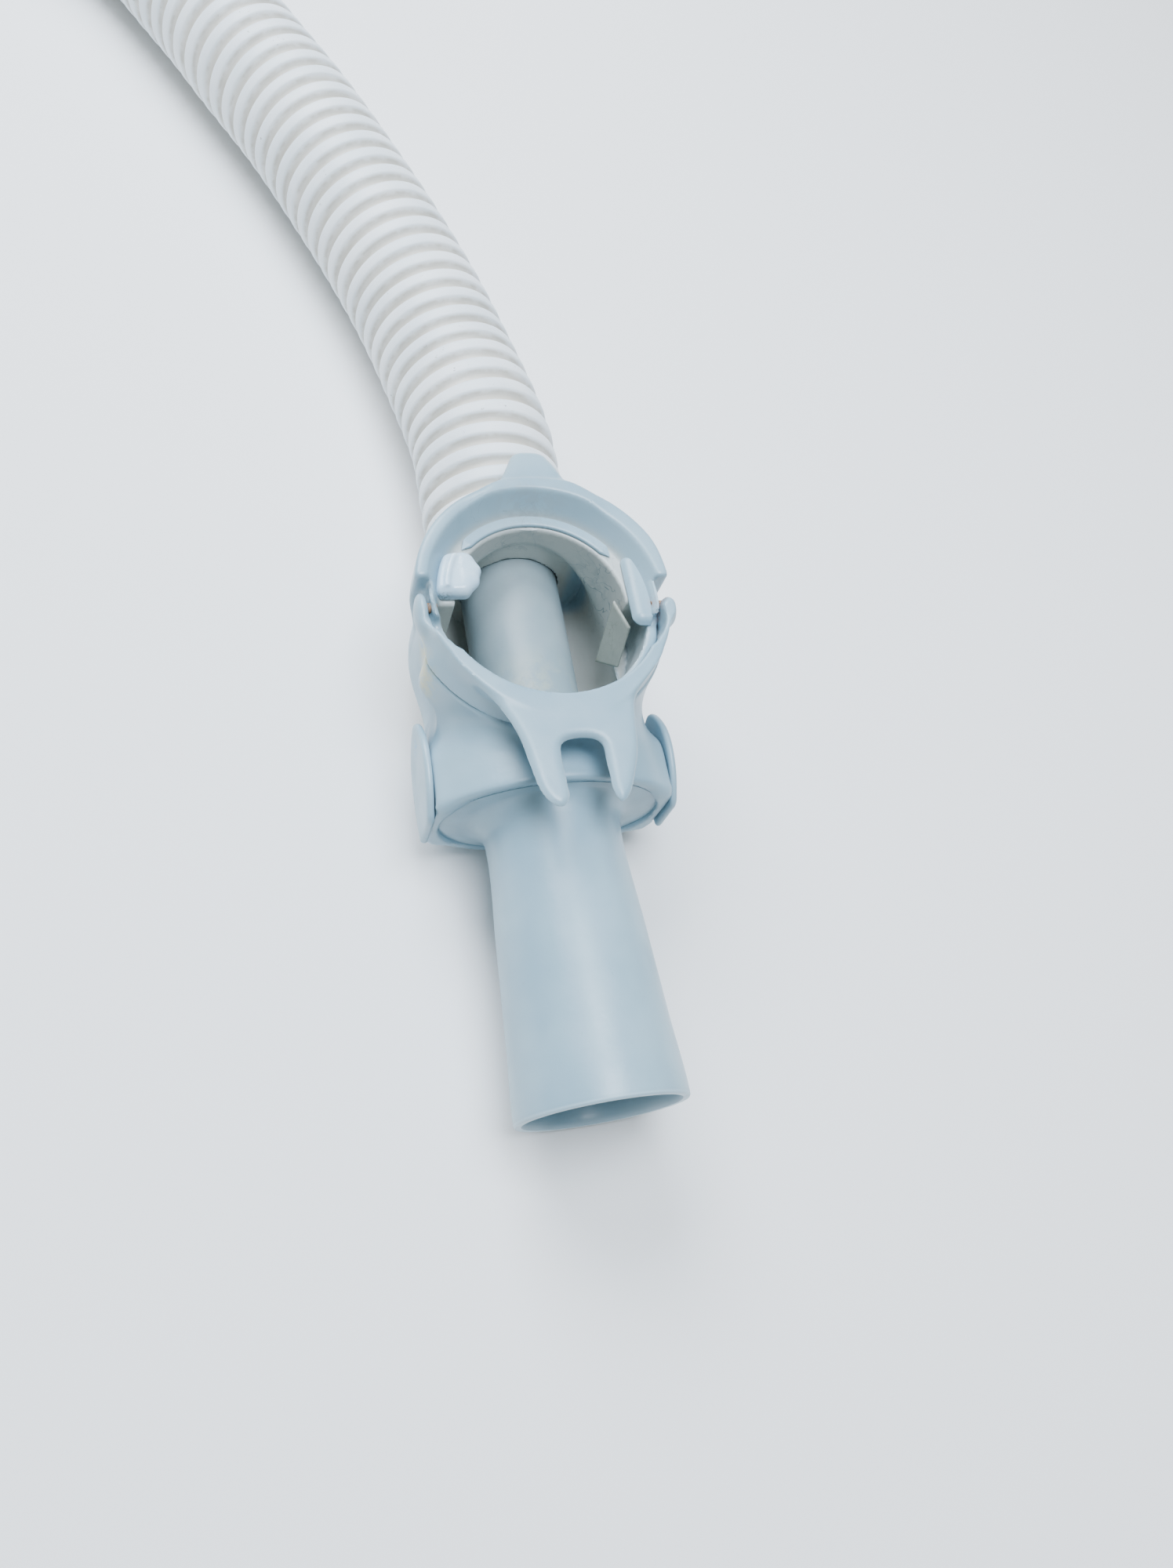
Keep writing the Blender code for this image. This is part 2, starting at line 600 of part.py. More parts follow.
def main():
    clear_scene()
    shell = plastic("pale_blue_abs", (0.40, 0.52, 0.60), 0.32)
    white = plastic("white_nylon", (0.72, 0.78, 0.82), 0.22)
    clear = plastic("aged_translucent_nylon", (0.45, 0.48, 0.44), 0.35)
    grey = plastic("grey_polypropylene", (0.48, 0.53, 0.54), 0.45)
    ribbed = plastic("off_white_hose_eva", (0.66, 0.68, 0.66), 0.5)
    rubber = plastic("black_rubber", (0.03, 0.03, 0.03), 0.7)
    ptfe = plastic("white_ptfe", (0.8, 0.8, 0.78), 0.5)
    steel = plastic("rusty_steel", (0.30, 0.16, 0.09), 0.6, 0.6)
    make_chamber_body(shell)
    make_spigot(shell)
    make_latch_yoke(shell)
    make_tabs(shell)
    make_mouth_pieces(shell, white, clear, steel)
    make_pipe_pieces(shell, clear, grey, rubber, ptfe)
    make_hose(ribbed, ribbed, rubber)


main()
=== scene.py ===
from math import pi, radians

import bpy
import numpy as np
from mathutils import Matrix, Vector


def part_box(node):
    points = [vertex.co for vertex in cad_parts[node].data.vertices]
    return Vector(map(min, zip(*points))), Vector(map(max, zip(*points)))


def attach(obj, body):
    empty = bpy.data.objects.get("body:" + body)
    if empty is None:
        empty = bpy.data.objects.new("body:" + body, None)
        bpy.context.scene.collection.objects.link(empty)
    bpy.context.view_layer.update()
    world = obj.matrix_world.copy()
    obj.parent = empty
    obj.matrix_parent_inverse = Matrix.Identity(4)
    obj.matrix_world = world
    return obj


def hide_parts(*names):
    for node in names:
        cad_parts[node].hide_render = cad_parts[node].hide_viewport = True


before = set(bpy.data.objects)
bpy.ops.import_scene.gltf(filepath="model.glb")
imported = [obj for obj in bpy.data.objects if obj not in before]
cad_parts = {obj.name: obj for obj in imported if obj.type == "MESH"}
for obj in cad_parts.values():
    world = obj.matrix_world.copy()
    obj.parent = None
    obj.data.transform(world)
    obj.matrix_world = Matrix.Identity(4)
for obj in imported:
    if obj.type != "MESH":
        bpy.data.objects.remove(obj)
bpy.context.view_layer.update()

# Shapes are worked out in millimetres, in the frame's own axes: x to the right, y along the pipe, z up.
mm = 0.001


def boxOf(node):
    low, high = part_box(node)
    return np.array(low) / mm, np.array(high) / mm


bodyLow, bodyHigh = boxOf("chamber_body")
tubeLow, tubeHigh = boxOf("inner_tube")
gripLow, gripHigh = boxOf("hose_grip_end")
pinLow, pinHigh = boxOf("yoke_pin_right")

axisZ = (tubeLow[2] + tubeHigh[2]) / 2  # the pipe's axis
rimZ = bodyHigh[2]
pivotY = (pinLow[1] + pinHigh[1]) / 2
pivotZ = (pinLow[2] + pinHigh[2]) / 2
mouthY = pivotY + 2.5
collarY = bodyLow[1]
hoseRadius = (gripHigh[0] - gripLow[0]) / 2


# An sRGB hex colour as the linear red, green, blue and alpha that the shaders take.
def linear(hexColour):
    parts = np.array([int(hexColour[i : i + 2], 16) / 255 for i in (1, 3, 5)])
    parts = np.where(parts <= 0.04045, parts / 12.92, ((parts + 0.055) / 1.055) ** 2.4)
    return (*parts.tolist(), 1.0)


# The lesser of two fields, rounded over a band k wide where they are alike, so that joined shapes
# get a fillet.
def smoothMin(a, b, k):
    h = np.clip(0.5 + 0.5 * (b - a) / k, 0, 1)
    return b + (a - b) * h - k * h * (1 - h)


def smoothMax(a, b, k):
    return -smoothMin(-a, -b, k)


def slab(v, low, high):
    return np.maximum(low - v, v - high)


# A smooth curve through (station, value) pairs that never runs past them: cubic pieces whose slope
# at each pair is the harmonic mean of its neighbours' slopes, or level where those turn.
def through(v, stations, values):
    s, f = np.array(stations, float), np.array(values, float)
    secant = np.diff(f) / np.diff(s)
    before, after = secant[:-1], secant[1:]
    turns = before * after <= 0
    mean = 2 * before * after / np.where(turns, 1.0, before + after)
    slope = np.concatenate([secant[:1], np.where(turns, 0.0, mean), secant[-1:]])
    i = np.clip(np.searchsorted(s, v) - 1, 0, len(s) - 2)
    width = s[i + 1] - s[i]
    t = np.clip((v - s[i]) / width, 0, 1)
    ends = f[i] * (2 * t**3 - 3 * t**2 + 1) + f[i + 1] * (3 * t**2 - 2 * t**3)
    return ends + width * (slope[i] * (t**3 - 2 * t**2 + t) + slope[i + 1] * (t**3 - t**2))


# Distance to an ellipse round the pipe's axis: the ellipse equation's value over its slope.
def ovalPipe(x, h, halfWidth, depth):
    k0 = np.sqrt((x / halfWidth) ** 2 + (h / depth) ** 2)
    k1 = np.sqrt((x / halfWidth**2) ** 2 + (h / depth**2) ** 2)
    return k0 * (k0 - 1) / np.maximum(k1, 1e-6)


# The field's slope at each point, from its values a step either side.
def gradient(field, points, step=0.05):
    shifts = step * np.eye(3)
    return np.stack(
        [(field(*(points + d).T) - field(*(points - d).T)) / (2 * step) for d in shifts], axis=1
    )


# Points and quads of the surface where the field is zero. Each grid cell that the surface crosses
# holds one point, at the mean of the crossings on its edges. Each grid edge that it crosses makes
# one quad, from the four cells round that edge. Each point then moves along the field's slope onto
# the surface.
def implicitSurface(field, low, high, cell):
    low, high = np.array(low, float), np.array(high, float)
    counts = np.ceil((high - low) / cell).astype(int) + 1
    grid = np.meshgrid(*(low[k] + cell * np.arange(counts[k]) for k in range(3)), indexing="ij")
    values = field(*grid)
    cellShape = tuple(counts - 1)
    cells, places, quads = [], [], []
    for k in range(3):
        before = values[tuple(slice(0, -1) if m == k else slice(None) for m in range(3))]
        after = values[tuple(slice(1, None) if m == k else slice(None) for m in range(3))]
        u, v = (k + 1) % 3, (k + 2) % 3
        edge = np.argwhere((before < 0) != (after < 0))
        edge = edge[((edge[:, [u, v]] > 0) & (edge[:, [u, v]] < counts[[u, v]] - 1)).all(axis=1)]
        a, b = before[tuple(edge.T)], after[tuple(edge.T)]
        place = low + cell * edge
        place[:, k] += cell * a / (a - b)
        ring = []
        for du, dv in ((-1, -1), (0, -1), (0, 0), (-1, 0)):
            around = edge.copy()
            around[:, u] += du
            around[:, v] += dv
            ring.append(np.ravel_multi_index(around.T, cellShape))
            cells.append(ring[-1])
            places.append(place)
        quad = np.stack(ring, axis=1)
        quads.append(np.where((a < 0)[:, None], quad, quad[:, ::-1]))
    used, index = np.unique(np.concatenate(cells), return_inverse=True)
    places, hits = np.concatenate(places), np.bincount(index)
    points = np.stack([np.bincount(index, places[:, k]) / hits for k in range(3)], axis=1)
    for _ in range(4):
        slope = gradient(field, points)
        move = field(*points.T)[:, None] * slope / np.maximum((slope**2).sum(1), 0.2)[:, None]
        points -= np.clip(move, -0.4 * cell, 0.4 * cell)
    return points, np.searchsorted(used, np.concatenate(quads))


# Points and quads of a grid of points [u, v], with each way closed on itself or left open.
def gridSurface(points, closeU=False, closeV=True):
    nu, nv = points.shape[:2]
    u = np.arange(nu if closeU else nu - 1)[:, None]
    v = np.arange(nv if closeV else nv - 1)[None, :]
    corners = [((u + a) % nu) * nv + (v + b) % nv for a, b in ((0, 0), (1, 0), (1, 1), (0, 1))]
    quads = np.stack([np.broadcast_to(c, (len(u), v.shape[1])).ravel() for c in corners], axis=1)
    return points.reshape(-1, 3), quads


def volumeOf(points, quads):
    a, b, c, d = (points[quads[:, k]] for k in range(4))
    return (np.cross(b - a, c - a) * a).sum() + (np.cross(c - a, d - a) * a).sum()


# Makes a mesh of points in millimetres and says what it rides on and stands for.
def addPiece(name, points, quads, body, material, replaced=(), sharp=40, channels=None):
    if volumeOf(points, quads) < 0:
        quads = quads[:, ::-1]
    mesh = bpy.data.meshes.new(name)
    mesh.from_pydata((points * mm).tolist(), [], quads.tolist())
    mesh.update()
    mesh.shade_smooth()
    if sharp:
        mesh.set_sharp_from_angle(angle=radians(sharp))
    for label, values in (channels or {}).items():
        held = mesh.attributes.new(label, "FLOAT", "POINT")
        held.data.foreach_set("value", np.asarray(values, np.float32).ravel())
    mesh.materials.append(material)
    piece = bpy.data.objects.new(name, mesh)
    bpy.context.scene.collection.objects.link(piece)
    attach(piece, body)
    if replaced:
        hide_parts(*replaced)
    return piece


# A closed outline from (a, b, rounding) corners, each corner replaced by a parabola that touches
# both its sides.
def roundedOutline(corners, steps=5):
    c = np.array(corners, float)
    before, after = np.roll(c, 1, axis=0), np.roll(c, -1, axis=0)
    t = np.linspace(0, 1, steps + 1)[None, :, None]
    p, r = c[:, None, :2], c[:, None, 2:]

    def toward(other):
        way = other[:, None, :2] - p
        return p + way * np.minimum(r / np.linalg.norm(way, axis=2, keepdims=True), 0.49)

    start, end = toward(before), toward(after)
    outline = (start * (1 - t) ** 2 + 2 * p * t * (1 - t) + end * t**2).reshape(-1, 2)
    keep = np.linalg.norm(outline - np.roll(outline, 1, axis=0), axis=1) > 1e-4
    return outline[keep]


# Adds points on an outline's long sides, so that none is longer than the spacing.
def refine(outline, spacing):
    after = np.roll(outline, -1, axis=0)
    counts = np.maximum(np.ceil(np.linalg.norm(after - outline, axis=1) / spacing), 1).astype(int)
    start = np.repeat(outline, counts, axis=0)
    end = np.repeat(after, counts, axis=0)
    t = (np.arange(counts.sum()) - np.repeat(np.cumsum(counts) - counts, counts)) / np.repeat(counts, counts)
    return start + (end - start) * t[:, None]


# A closed outline of (radius, distance along the axis) turned all the way round the axis.
def turnedSurface(outline, steps=96, origin=None, along=(0, 1, 0), wobble=None):
    origin = np.array((0, 0, axisZ) if origin is None else origin, float)
    along = np.array(along, float)
    side = np.cross(along, (0, 0, 1.0))
    side = side / np.linalg.norm(side) if np.linalg.norm(side) > 0.1 else np.array((1.0, 0, 0))
    up = np.cross(side, along)
    angle = np.linspace(0, 2 * pi, steps, endpoint=False)[None, :, None]
    radius, reach = outline[:, None, :1], outline[:, None, 1:]
    if wobble is not None:
        radius = radius * (1 + wobble(angle, reach))
    around = side * np.cos(angle) + up * np.sin(angle)
    return gridSurface(origin + along * reach + radius * around, closeU=True)


# How far a hollow closes in over each point, and how thin the piece is behind it, both from 0 to 1.
# Off a flat face the field grows by the reach that a point is moved, so what is missing from that
# tells a hollow from an edge.
def creaseAndEdge(field, points, reach=2.5):
    slope = gradient(field, points)
    normal = slope / np.maximum(np.linalg.norm(slope, axis=1, keepdims=True), 1e-6)
    outside = field(*(points + reach * normal).T) / reach
    inside = -field(*(points - 0.5 * reach * normal).T) / (0.5 * reach)
    return {"crease": np.clip(1 - outside, 0, 1), "edge": np.clip(1 - inside, 0, 1)}


# Adds a node, sets its properties and input values, and links its inputs to the sockets given.
# An input is named, or numbered where two share a name.
def addNode(tree, kind, links=None, values=None, **settings):
    node = tree.nodes.new(kind)
    for name, value in settings.items():
        setattr(node, name, value)
    for name, value in (values or {}).items():
        node.inputs[name].default_value = value
    for name, socket in (links or {}).items():
        tree.links.new(socket, node.inputs[name])
    return node


def newMaterial(name):
    material = bpy.data.materials.new(name)
    material.use_nodes = True
    tree = material.node_tree
    return material, tree, tree.nodes["Principled BSDF"]


# Noise whose blobs are about size millimetres across.
def noise(tree, place, size, detail=3.0, roughness=0.55, distortion=0.0):
    values = {"Scale": 1 / (size * mm), "Detail": detail, "Roughness": roughness, "Distortion": distortion}
    return addNode(tree, "ShaderNodeTexNoise", {"Vector": place}, values).outputs["Fac"]


# 0 where the value is at or under low, 1 where it is at or over high, and eased between.
def step(tree, value, low, high):
    values = {"From Min": low, "From Max": high}
    eased = addNode(tree, "ShaderNodeMapRange", {"Value": value}, values, interpolation_type="SMOOTHSTEP")
    return eased.outputs["Result"]


def maths(tree, operation, a, b):
    links, values = {}, {}
    for index, part in enumerate((a, b)):
        (values if isinstance(part, (int, float)) else links)[index] = part
    return addNode(tree, "ShaderNodeMath", links, values, operation=operation).outputs["Value"]


# Lays a colour over another, by a factor. The colours are hex strings or sockets.
def layColour(tree, factor, under, over):
    node = addNode(tree, "ShaderNodeMix", data_type="RGBA")
    for index, part in ((0, factor), (6, under), (7, over)):
        if isinstance(part, str):
            node.inputs[index].default_value = linear(part)
        elif isinstance(part, (int, float)):
            node.inputs[index].default_value = part
        else:
            tree.links.new(part, node.inputs[index])
    return node.outputs[2]


# 1 at a centre in millimetres, falling to 0 at the radius.
def near(tree, place, centre, radius):
    point = tuple(c * mm for c in centre)
    gap = addNode(tree, "ShaderNodeVectorMath", {0: place}, {1: point}, operation="DISTANCE")
    return step(tree, gap.outputs["Value"], radius * mm, 0.15 * radius * mm)


def channel(tree, name):
    return addNode(tree, "ShaderNodeAttribute", attribute_name=name).outputs["Fac"]


# Relief from a height socket: a full step stands depth millimetres high.
def relief(tree, shader, height, depth):
    node = addNode(tree, "ShaderNodeBump", {"Height": height}, {"Strength": 1.0, "Distance": depth * mm})
    tree.links.new(node.outputs["Normal"], shader.inputs["Normal"])


# A thin line wherever a distorted noise passes through its middle value, as a scratch does.
def scratches(tree, place, size, width):
    wander = noise(tree, place, size, 2.0, 0.45, 0.8)
    off = maths(tree, "ABSOLUTE", maths(tree, "SUBTRACT", wander, 0.5), 0.0)
    return step(tree, off, width, 0.2 * width)


# Moulded plastic: two close shades in broad clouds, a pale film inside that is partly painted light,
# a darker layer where the crease channel is high, which is dust in the body's hollows and painted shade on
# the spigot's cove and the inner pipe's rear, a paler rubbed edge, fine texture from the mould, and a sheen
# that varies with handling.
def mouldedPlastic(name, look):
    material, tree, shader = newMaterial(name)
    place = addNode(tree, "ShaderNodeTexCoord").outputs["Object"]
    clouds = step(tree, noise(tree, place, look["cloud"], 3.0), 0.36, 0.64)
    colour = layColour(tree, clouds, look["shade"], look["light"])
    # Painted light: the chamber's inside takes a pale grey film, partly its real film and partly painted
    # light where little light reaches.
    filmAndPaintedLightWeight = maths(tree, "MULTIPLY", channel(tree, "inside"), look["filmAndPaintedLightWeight"])
    colour = layColour(tree, filmAndPaintedLightWeight, colour, look["filmAndPaintedLight"])
    # Darker where the crease channel is high: dust in the body's hollows, and painted shade where the spigot
    # and inner pipe set that channel.
    drift = step(tree, noise(tree, place, 7.0, 4.0), 0.3, 0.62)
    dustAndPaintedShade = maths(tree, "MULTIPLY", channel(tree, "crease"), drift)
    colour = layColour(tree, maths(tree, "MULTIPLY", dustAndPaintedShade, look["dustAndPaintedShade"]), colour, look["dirtAndPaintedShade"])
    rubbed = step(tree, channel(tree, "edge"), 0.45, 0.95)
    colour = layColour(tree, maths(tree, "MULTIPLY", rubbed, look["rub"]), colour, look["pale"])
    specks = step(tree, noise(tree, place, 1.6, 2.0, 0.6), 0.70, 0.76)
    colour = layColour(tree, maths(tree, "MULTIPLY", specks, look["specks"]), colour, look["dirtAndPaintedShade"])
    for centre, radius, hexColour, strength, grain in look["marks"]:
        patch = step(tree, noise(tree, place, grain, 4.0, 0.65), 0.40, 0.58)
        patch = maths(tree, "MULTIPLY", near(tree, place, centre, radius), patch)
        colour = layColour(tree, maths(tree, "MULTIPLY", patch, strength), colour, hexColour)
    for centre, radius, strength in look["scored"]:
        lines = maths(tree, "MULTIPLY", scratches(tree, place, 8.0, 0.012), near(tree, place, centre, radius))
        colour = layColour(tree, maths(tree, "MULTIPLY", lines, strength), colour, look["dirtAndPaintedShade"])
    tree.links.new(colour, shader.inputs["Base Color"])
    sheen = addNode(tree, "ShaderNodeMapRange", {"Value": noise(tree, place, 12.0, 4.0)})
    sheen.inputs["From Min"].default_value = 0.3
    sheen.inputs["From Max"].default_value = 0.7
    sheen.inputs["To Min"].default_value = look["roughness"] - 0.05
    sheen.inputs["To Max"].default_value = look["roughness"] + 0.07
    tree.links.new(sheen.outputs["Result"], shader.inputs["Roughness"])
    shader.inputs["IOR"].default_value = look["ior"]
    shader.inputs["Subsurface Weight"].default_value = look["glow"]
    shader.inputs["Subsurface Radius"].default_value = (1.0, 0.9, 0.8)
    shader.inputs["Subsurface Scale"].default_value = 2.5 * mm
    grain = maths(tree, "ADD", noise(tree, place, 2.2, 3.0), noise(tree, place, 22.0, 1.0))
    relief(tree, shader, grain, look["relief"])
    return material


# Injection-moulded ABS that sun and pool water have dulled: IOR 1.54, satin.
paleBlueAbs = mouldedPlastic(
    "paleBlueAbs",
    {
        "shade": "#84A4B3",
        "light": "#94B1BE",
        "cloud": 40.0,
        "pale": "#B2CBD7",
        "rub": 0.5,
        "dirtAndPaintedShade": "#6F8086",
        "dustAndPaintedShade": 0.22,
        "filmAndPaintedLight": "#C6C7BE",  # the grey film that standing water leaves inside, made light as painted light for the chamber's dim interior
        "filmAndPaintedLightWeight": 0.85,
        "specks": 0.12,
        "roughness": 0.33,
        "ior": 1.54,
        "glow": 0.12,
        "relief": 0.05,
        "marks": (
            ((-38, 22, 50), 15, "#C9C07A", 0.85, 5.0),  # yellow-green pool stain
            ((-37, 33, 58), 9, "#7A8A86", 0.6, 3.0),
            ((39, 31, 63), 8, "#A5522B", 0.9, 1.6),  # rust that has run from the pivot pin
            ((-40.5, 0, 36), 4, "#3F8FC4", 0.8, 2.0),  # a blue pen mark
            ((24, 52, 50), 14, "#8E9C9C", 0.45, 3.5),
            ((0, 66, 66), 18, "#8C9AA0", 0.35, 3.0),
        ),
        "scored": (((25, 45, 48), 24, 0.75), ((-10, 60, 60), 26, 0.35)),
    },
)

# Polypropylene pipe, the grey of dulled white: IOR 1.49.
greyPolypropylene = mouldedPlastic(
    "greyPolypropylene",
    {
        "shade": "#82969D",
        "light": "#90A1A6",
        "filmAndPaintedLight": "#A9A99C",
        "filmAndPaintedLightWeight": 0.5,
        "cloud": 30.0,
        "pale": "#C6D0D2",
        "rub": 0.4,
        "dirtAndPaintedShade": "#7E8785",
        "dustAndPaintedShade": 0.4,
        "specks": 0.08,
        "roughness": 0.42,
        "ior": 1.49,
        "glow": 0.1,
        "relief": 0.04,
        "marks": (((0, 8, 45), 26, "#A9B19F", 0.45, 8.0),),
        "scored": (((0, 20, 46), 26, 0.25),),
    },
)

# Nylon that has kept its white and its gloss: IOR 1.53.
whiteNylon = mouldedPlastic(
    "whiteNylon",
    {
        "shade": "#AFCFE2",
        "light": "#C2DBEA",
        "filmAndPaintedLight": "#9FB0B4",
        "filmAndPaintedLightWeight": 0.3,
        "cloud": 9.0,
        "pale": "#F1F6FA",
        "rub": 0.5,
        "dirtAndPaintedShade": "#8A979C",
        "dustAndPaintedShade": 0.3,
        "specks": 0.05,
        "roughness": 0.17,
        "ior": 1.53,
        "glow": 0.2,
        "relief": 0.08,
        "marks": (((-31, 35, 64), 4, "#6E7B7C", 0.7, 1.5),),
        "scored": (),
    },
)

# The same nylon, yellowed and clouded by age, and darkened further as painted shade deep in the chamber.
agedNylonPaintedShade = mouldedPlastic(
    "agedNylonPaintedShade",
    {
        "shade": "#5B6154",
        "light": "#6E7467",
        "filmAndPaintedLight": "#70755F",
        "filmAndPaintedLightWeight": 0.4,
        "cloud": 10.0,
        "pale": "#AEB5AE",
        "rub": 0.5,
        "dirtAndPaintedShade": "#666B58",
        "dustAndPaintedShade": 0.5,
        "specks": 0.15,
        "roughness": 0.36,
        "ior": 1.53,
        "glow": 0.25,
        "relief": 0.08,
        "marks": (((25, 34, 34), 14, "#7C8068", 0.6, 4.0), ((34, 31, 64), 6, "#8D6A4B", 0.5, 1.5)),
        "scored": (((25, 36, 45), 16, 0.4),),
    },
)


# Blow-moulded EVA: white crests, grooves painted a darker beige as painted shade, darker patches on the rib
# shoulders that are partly dust and partly painted shade, small dark scuffs on the crests. "crest" is 1 on a
# crest and 0 in a groove. IOR 1.48.
def hosePlastic():
    material, tree, shader = newMaterial("hoseEva")
    place = addNode(tree, "ShaderNodeTexCoord").outputs["Object"]
    crest = channel(tree, "crest")
    # Painted shade: the grooves are coloured a darker beige for the shade between the ribs.
    paintedGrooveShade = layColour(tree, step(tree, noise(tree, place, 14.0), 0.35, 0.65), "#C3BFB4", "#D2CFC6")
    top = layColour(tree, step(tree, noise(tree, place, 25.0), 0.35, 0.65), "#DDE6EB", "#E9EFF2")
    colour = layColour(tree, crest, paintedGrooveShade, top)
    # Patches on the rib shoulders painted darker: partly dust, partly painted shade on the ribs' sides.
    shoulder = maths(tree, "MULTIPLY", step(tree, crest, 0.05, 0.5), step(tree, crest, 0.98, 0.5))
    shoulderDustAndPaintedShade = maths(tree, "MULTIPLY", shoulder, step(tree, noise(tree, place, 6.0, 4.0), 0.35, 0.6))
    colour = layColour(tree, maths(tree, "MULTIPLY", shoulderDustAndPaintedShade, 0.55), colour, "#A39E8F")
    scuffs = step(tree, noise(tree, place, 2.6, 3.0, 0.7), 0.66, 0.72)
    sparse = step(tree, noise(tree, place, 38.0, 2.0), 0.50, 0.62)
    scuffs = maths(tree, "MULTIPLY", maths(tree, "MULTIPLY", scuffs, sparse), crest)
    colour = layColour(tree, maths(tree, "MULTIPLY", scuffs, 0.75), colour, "#6D6F6E")
    tree.links.new(colour, shader.inputs["Base Color"])
    shader.inputs["Roughness"].default_value = 0.46
    shader.inputs["IOR"].default_value = 1.48
    shader.inputs["Subsurface Weight"].default_value = 0.12
    shader.inputs["Subsurface Radius"].default_value = (1.0, 0.95, 0.85)
    shader.inputs["Subsurface Scale"].default_value = 2.0 * mm
    relief(tree, shader, noise(tree, place, 1.8, 3.0), 0.06)
    return material


# Nitrile rubber, matt black with a grey bloom. IOR 1.52.
def rubber():
    material, tree, shader = newMaterial("blackRubber")
    place = addNode(tree, "ShaderNodeTexCoord").outputs["Object"]
    colour = layColour(tree, step(tree, noise(tree, place, 3.0), 0.4, 0.7), "#161718", "#2B2D2E")
    tree.links.new(colour, shader.inputs["Base Color"])
    shader.inputs["Roughness"].default_value = 0.62
    shader.inputs["IOR"].default_value = 1.52
    relief(tree, shader, noise(tree, place, 0.8), 0.03)
    return material


# Skived PTFE washer, waxy white. IOR 1.36.
def ptfe():
    material, tree, shader = newMaterial("whitePtfe")
    place = addNode(tree, "ShaderNodeTexCoord").outputs["Object"]
    colour = layColour(tree, step(tree, noise(tree, place, 4.0), 0.4, 0.6), "#DCDCD8", "#EAEAE7")
    tree.links.new(colour, shader.inputs["Base Color"])
    shader.inputs["Roughness"].default_value = 0.5
    shader.inputs["IOR"].default_value = 1.36
    relief(tree, shader, noise(tree, place, 0.6), 0.02)
    return material


# Drawn steel wire, mostly turned to rust. Rust isn't a metal, so metal shows only where it is bare.
def rustySteel():
    material, tree, shader = newMaterial("rustySteel")
    place = addNode(tree, "ShaderNodeTexCoord").outputs["Object"]
    rust = step(tree, noise(tree, place, 1.4, 5.0, 0.7), 0.38, 0.52)
    shades = layColour(tree, step(tree, noise(tree, place, 0.7, 3.0), 0.35, 0.65), "#5E4335", "#94765C")
    tree.links.new(layColour(tree, rust, "#8E8B86", shades), shader.inputs["Base Color"])
    tree.links.new(maths(tree, "SUBTRACT", 1.0, rust), shader.inputs["Metallic"])
    tree.links.new(maths(tree, "ADD", maths(tree, "MULTIPLY", rust, 0.45), 0.35), shader.inputs["Roughness"])
    relief(tree, shader, rust, 0.12)
    return material


hoseEva = hosePlastic()
blackRubber = rubber()
whitePtfe = ptfe()
rustyWire = rustySteel()
print("materials made")


# Hose. Its route is the frame's own: straight out of the socket, down to the floor, then one
# open turn back beside the fitting.
hose = {
    "exit": (0.0, gripLow[1], axisZ),
    "straightEnd": (0.0, gripLow[1] + 16.0, axisZ),
    "route": (
        (0, 112.8, 29.0),
        (0, 119.5, 29.0),
        (-2, 134, 28.3),
        (-6, 156, 26.4),
        (-13, 186, 25.4),
        (-23, 217, 25.2),
        (-35, 248, 25.2),
        (-49, 281, 25.2),
        (-66, 314, 25.2),
        (-84, 349, 25.2),
        (-120, 406, 25.2),
        (-179, 450, 25.2),
        (-250, 470, 25.2),
        (-322, 464, 25.2),
        (-388, 434, 25.2),
        (-440, 382, 25.6),
        (-469, 316, 26.6),
        (-475, 250, 27.4),
        (-475, 200, 27.4),
        (-475, 152, 27.4),
    ),
    "outer": hoseRadius,
    "bore": 19.3,
    "pitch": 8.9,
    "crest": 0.60,  # share of the pitch that a crest takes
    "shoulder": 0.13,
    "depth": 2.1,
    "round": 60,
    "perRib": 12,
    "crown": 0.25,  # how far a crest's middle stands above its shoulders
}


def smoothRoute(points, spacing):
    # Cubic pieces through the points, each with the slope of the line between its neighbours.
    # The line is then read at even spacing and averaged over a short window to even its bends.
    p = np.array(points, float)
    p = np.vstack([2 * p[0] - p[1], p, 2 * p[-1] - p[-2]])
    t = np.linspace(0, 1, 40, endpoint=False)[None, :, None]
    a, b, c, d = p[:-3, None], p[1:-2, None], p[2:-1, None], p[3:, None]
    bends = (2 * a - 5 * b + 4 * c - d) * t**2 + (3 * b - a - 3 * c + d) * t**3
    line = np.vstack([(0.5 * (2 * b + (c - a) * t + bends)).reshape(-1, 3), p[-2:-1]])
    along = np.concatenate([[0], np.cumsum(np.linalg.norm(np.diff(line, axis=0), axis=1))])
    even = np.linspace(0, along[-1], int(round(along[-1] / spacing)) + 1)
    line = np.stack([np.interp(even, along, line[:, k]) for k in range(3)], axis=1)
    reach = int(14 / spacing)
    window = np.hanning(2 * reach + 1)
    before = 2 * line[0] - line[reach:0:-1]
    after = 2 * line[-1] - line[-2 : -reach - 2 : -1]
    padded = np.vstack([before, line, after])
    return np.stack([np.convolve(padded[:, k], window / window.sum(), "valid") for k in range(3)], axis=1)


def smoothStep(t):
    t = np.clip(t, 0, 1)
    return t * t * (3 - 2 * t)


# Rings round a line: at each point the ring lies across the line, its first direction level.
def ringsAlong(line, radii, steps):
    tangent = np.gradient(line, axis=0)
    tangent /= np.linalg.norm(tangent, axis=1, keepdims=True)
    side = np.cross(tangent, (0, 0, 1.0))
    side /= np.linalg.norm(side, axis=1, keepdims=True)
    up = np.cross(side, tangent)
    angle = np.linspace(0, 2 * pi, steps, endpoint=False)[None, :, None]
    around = side[:, None] * np.cos(angle) + up[:, None] * np.sin(angle)
    return line[:, None] + radii[:, None, None] * around


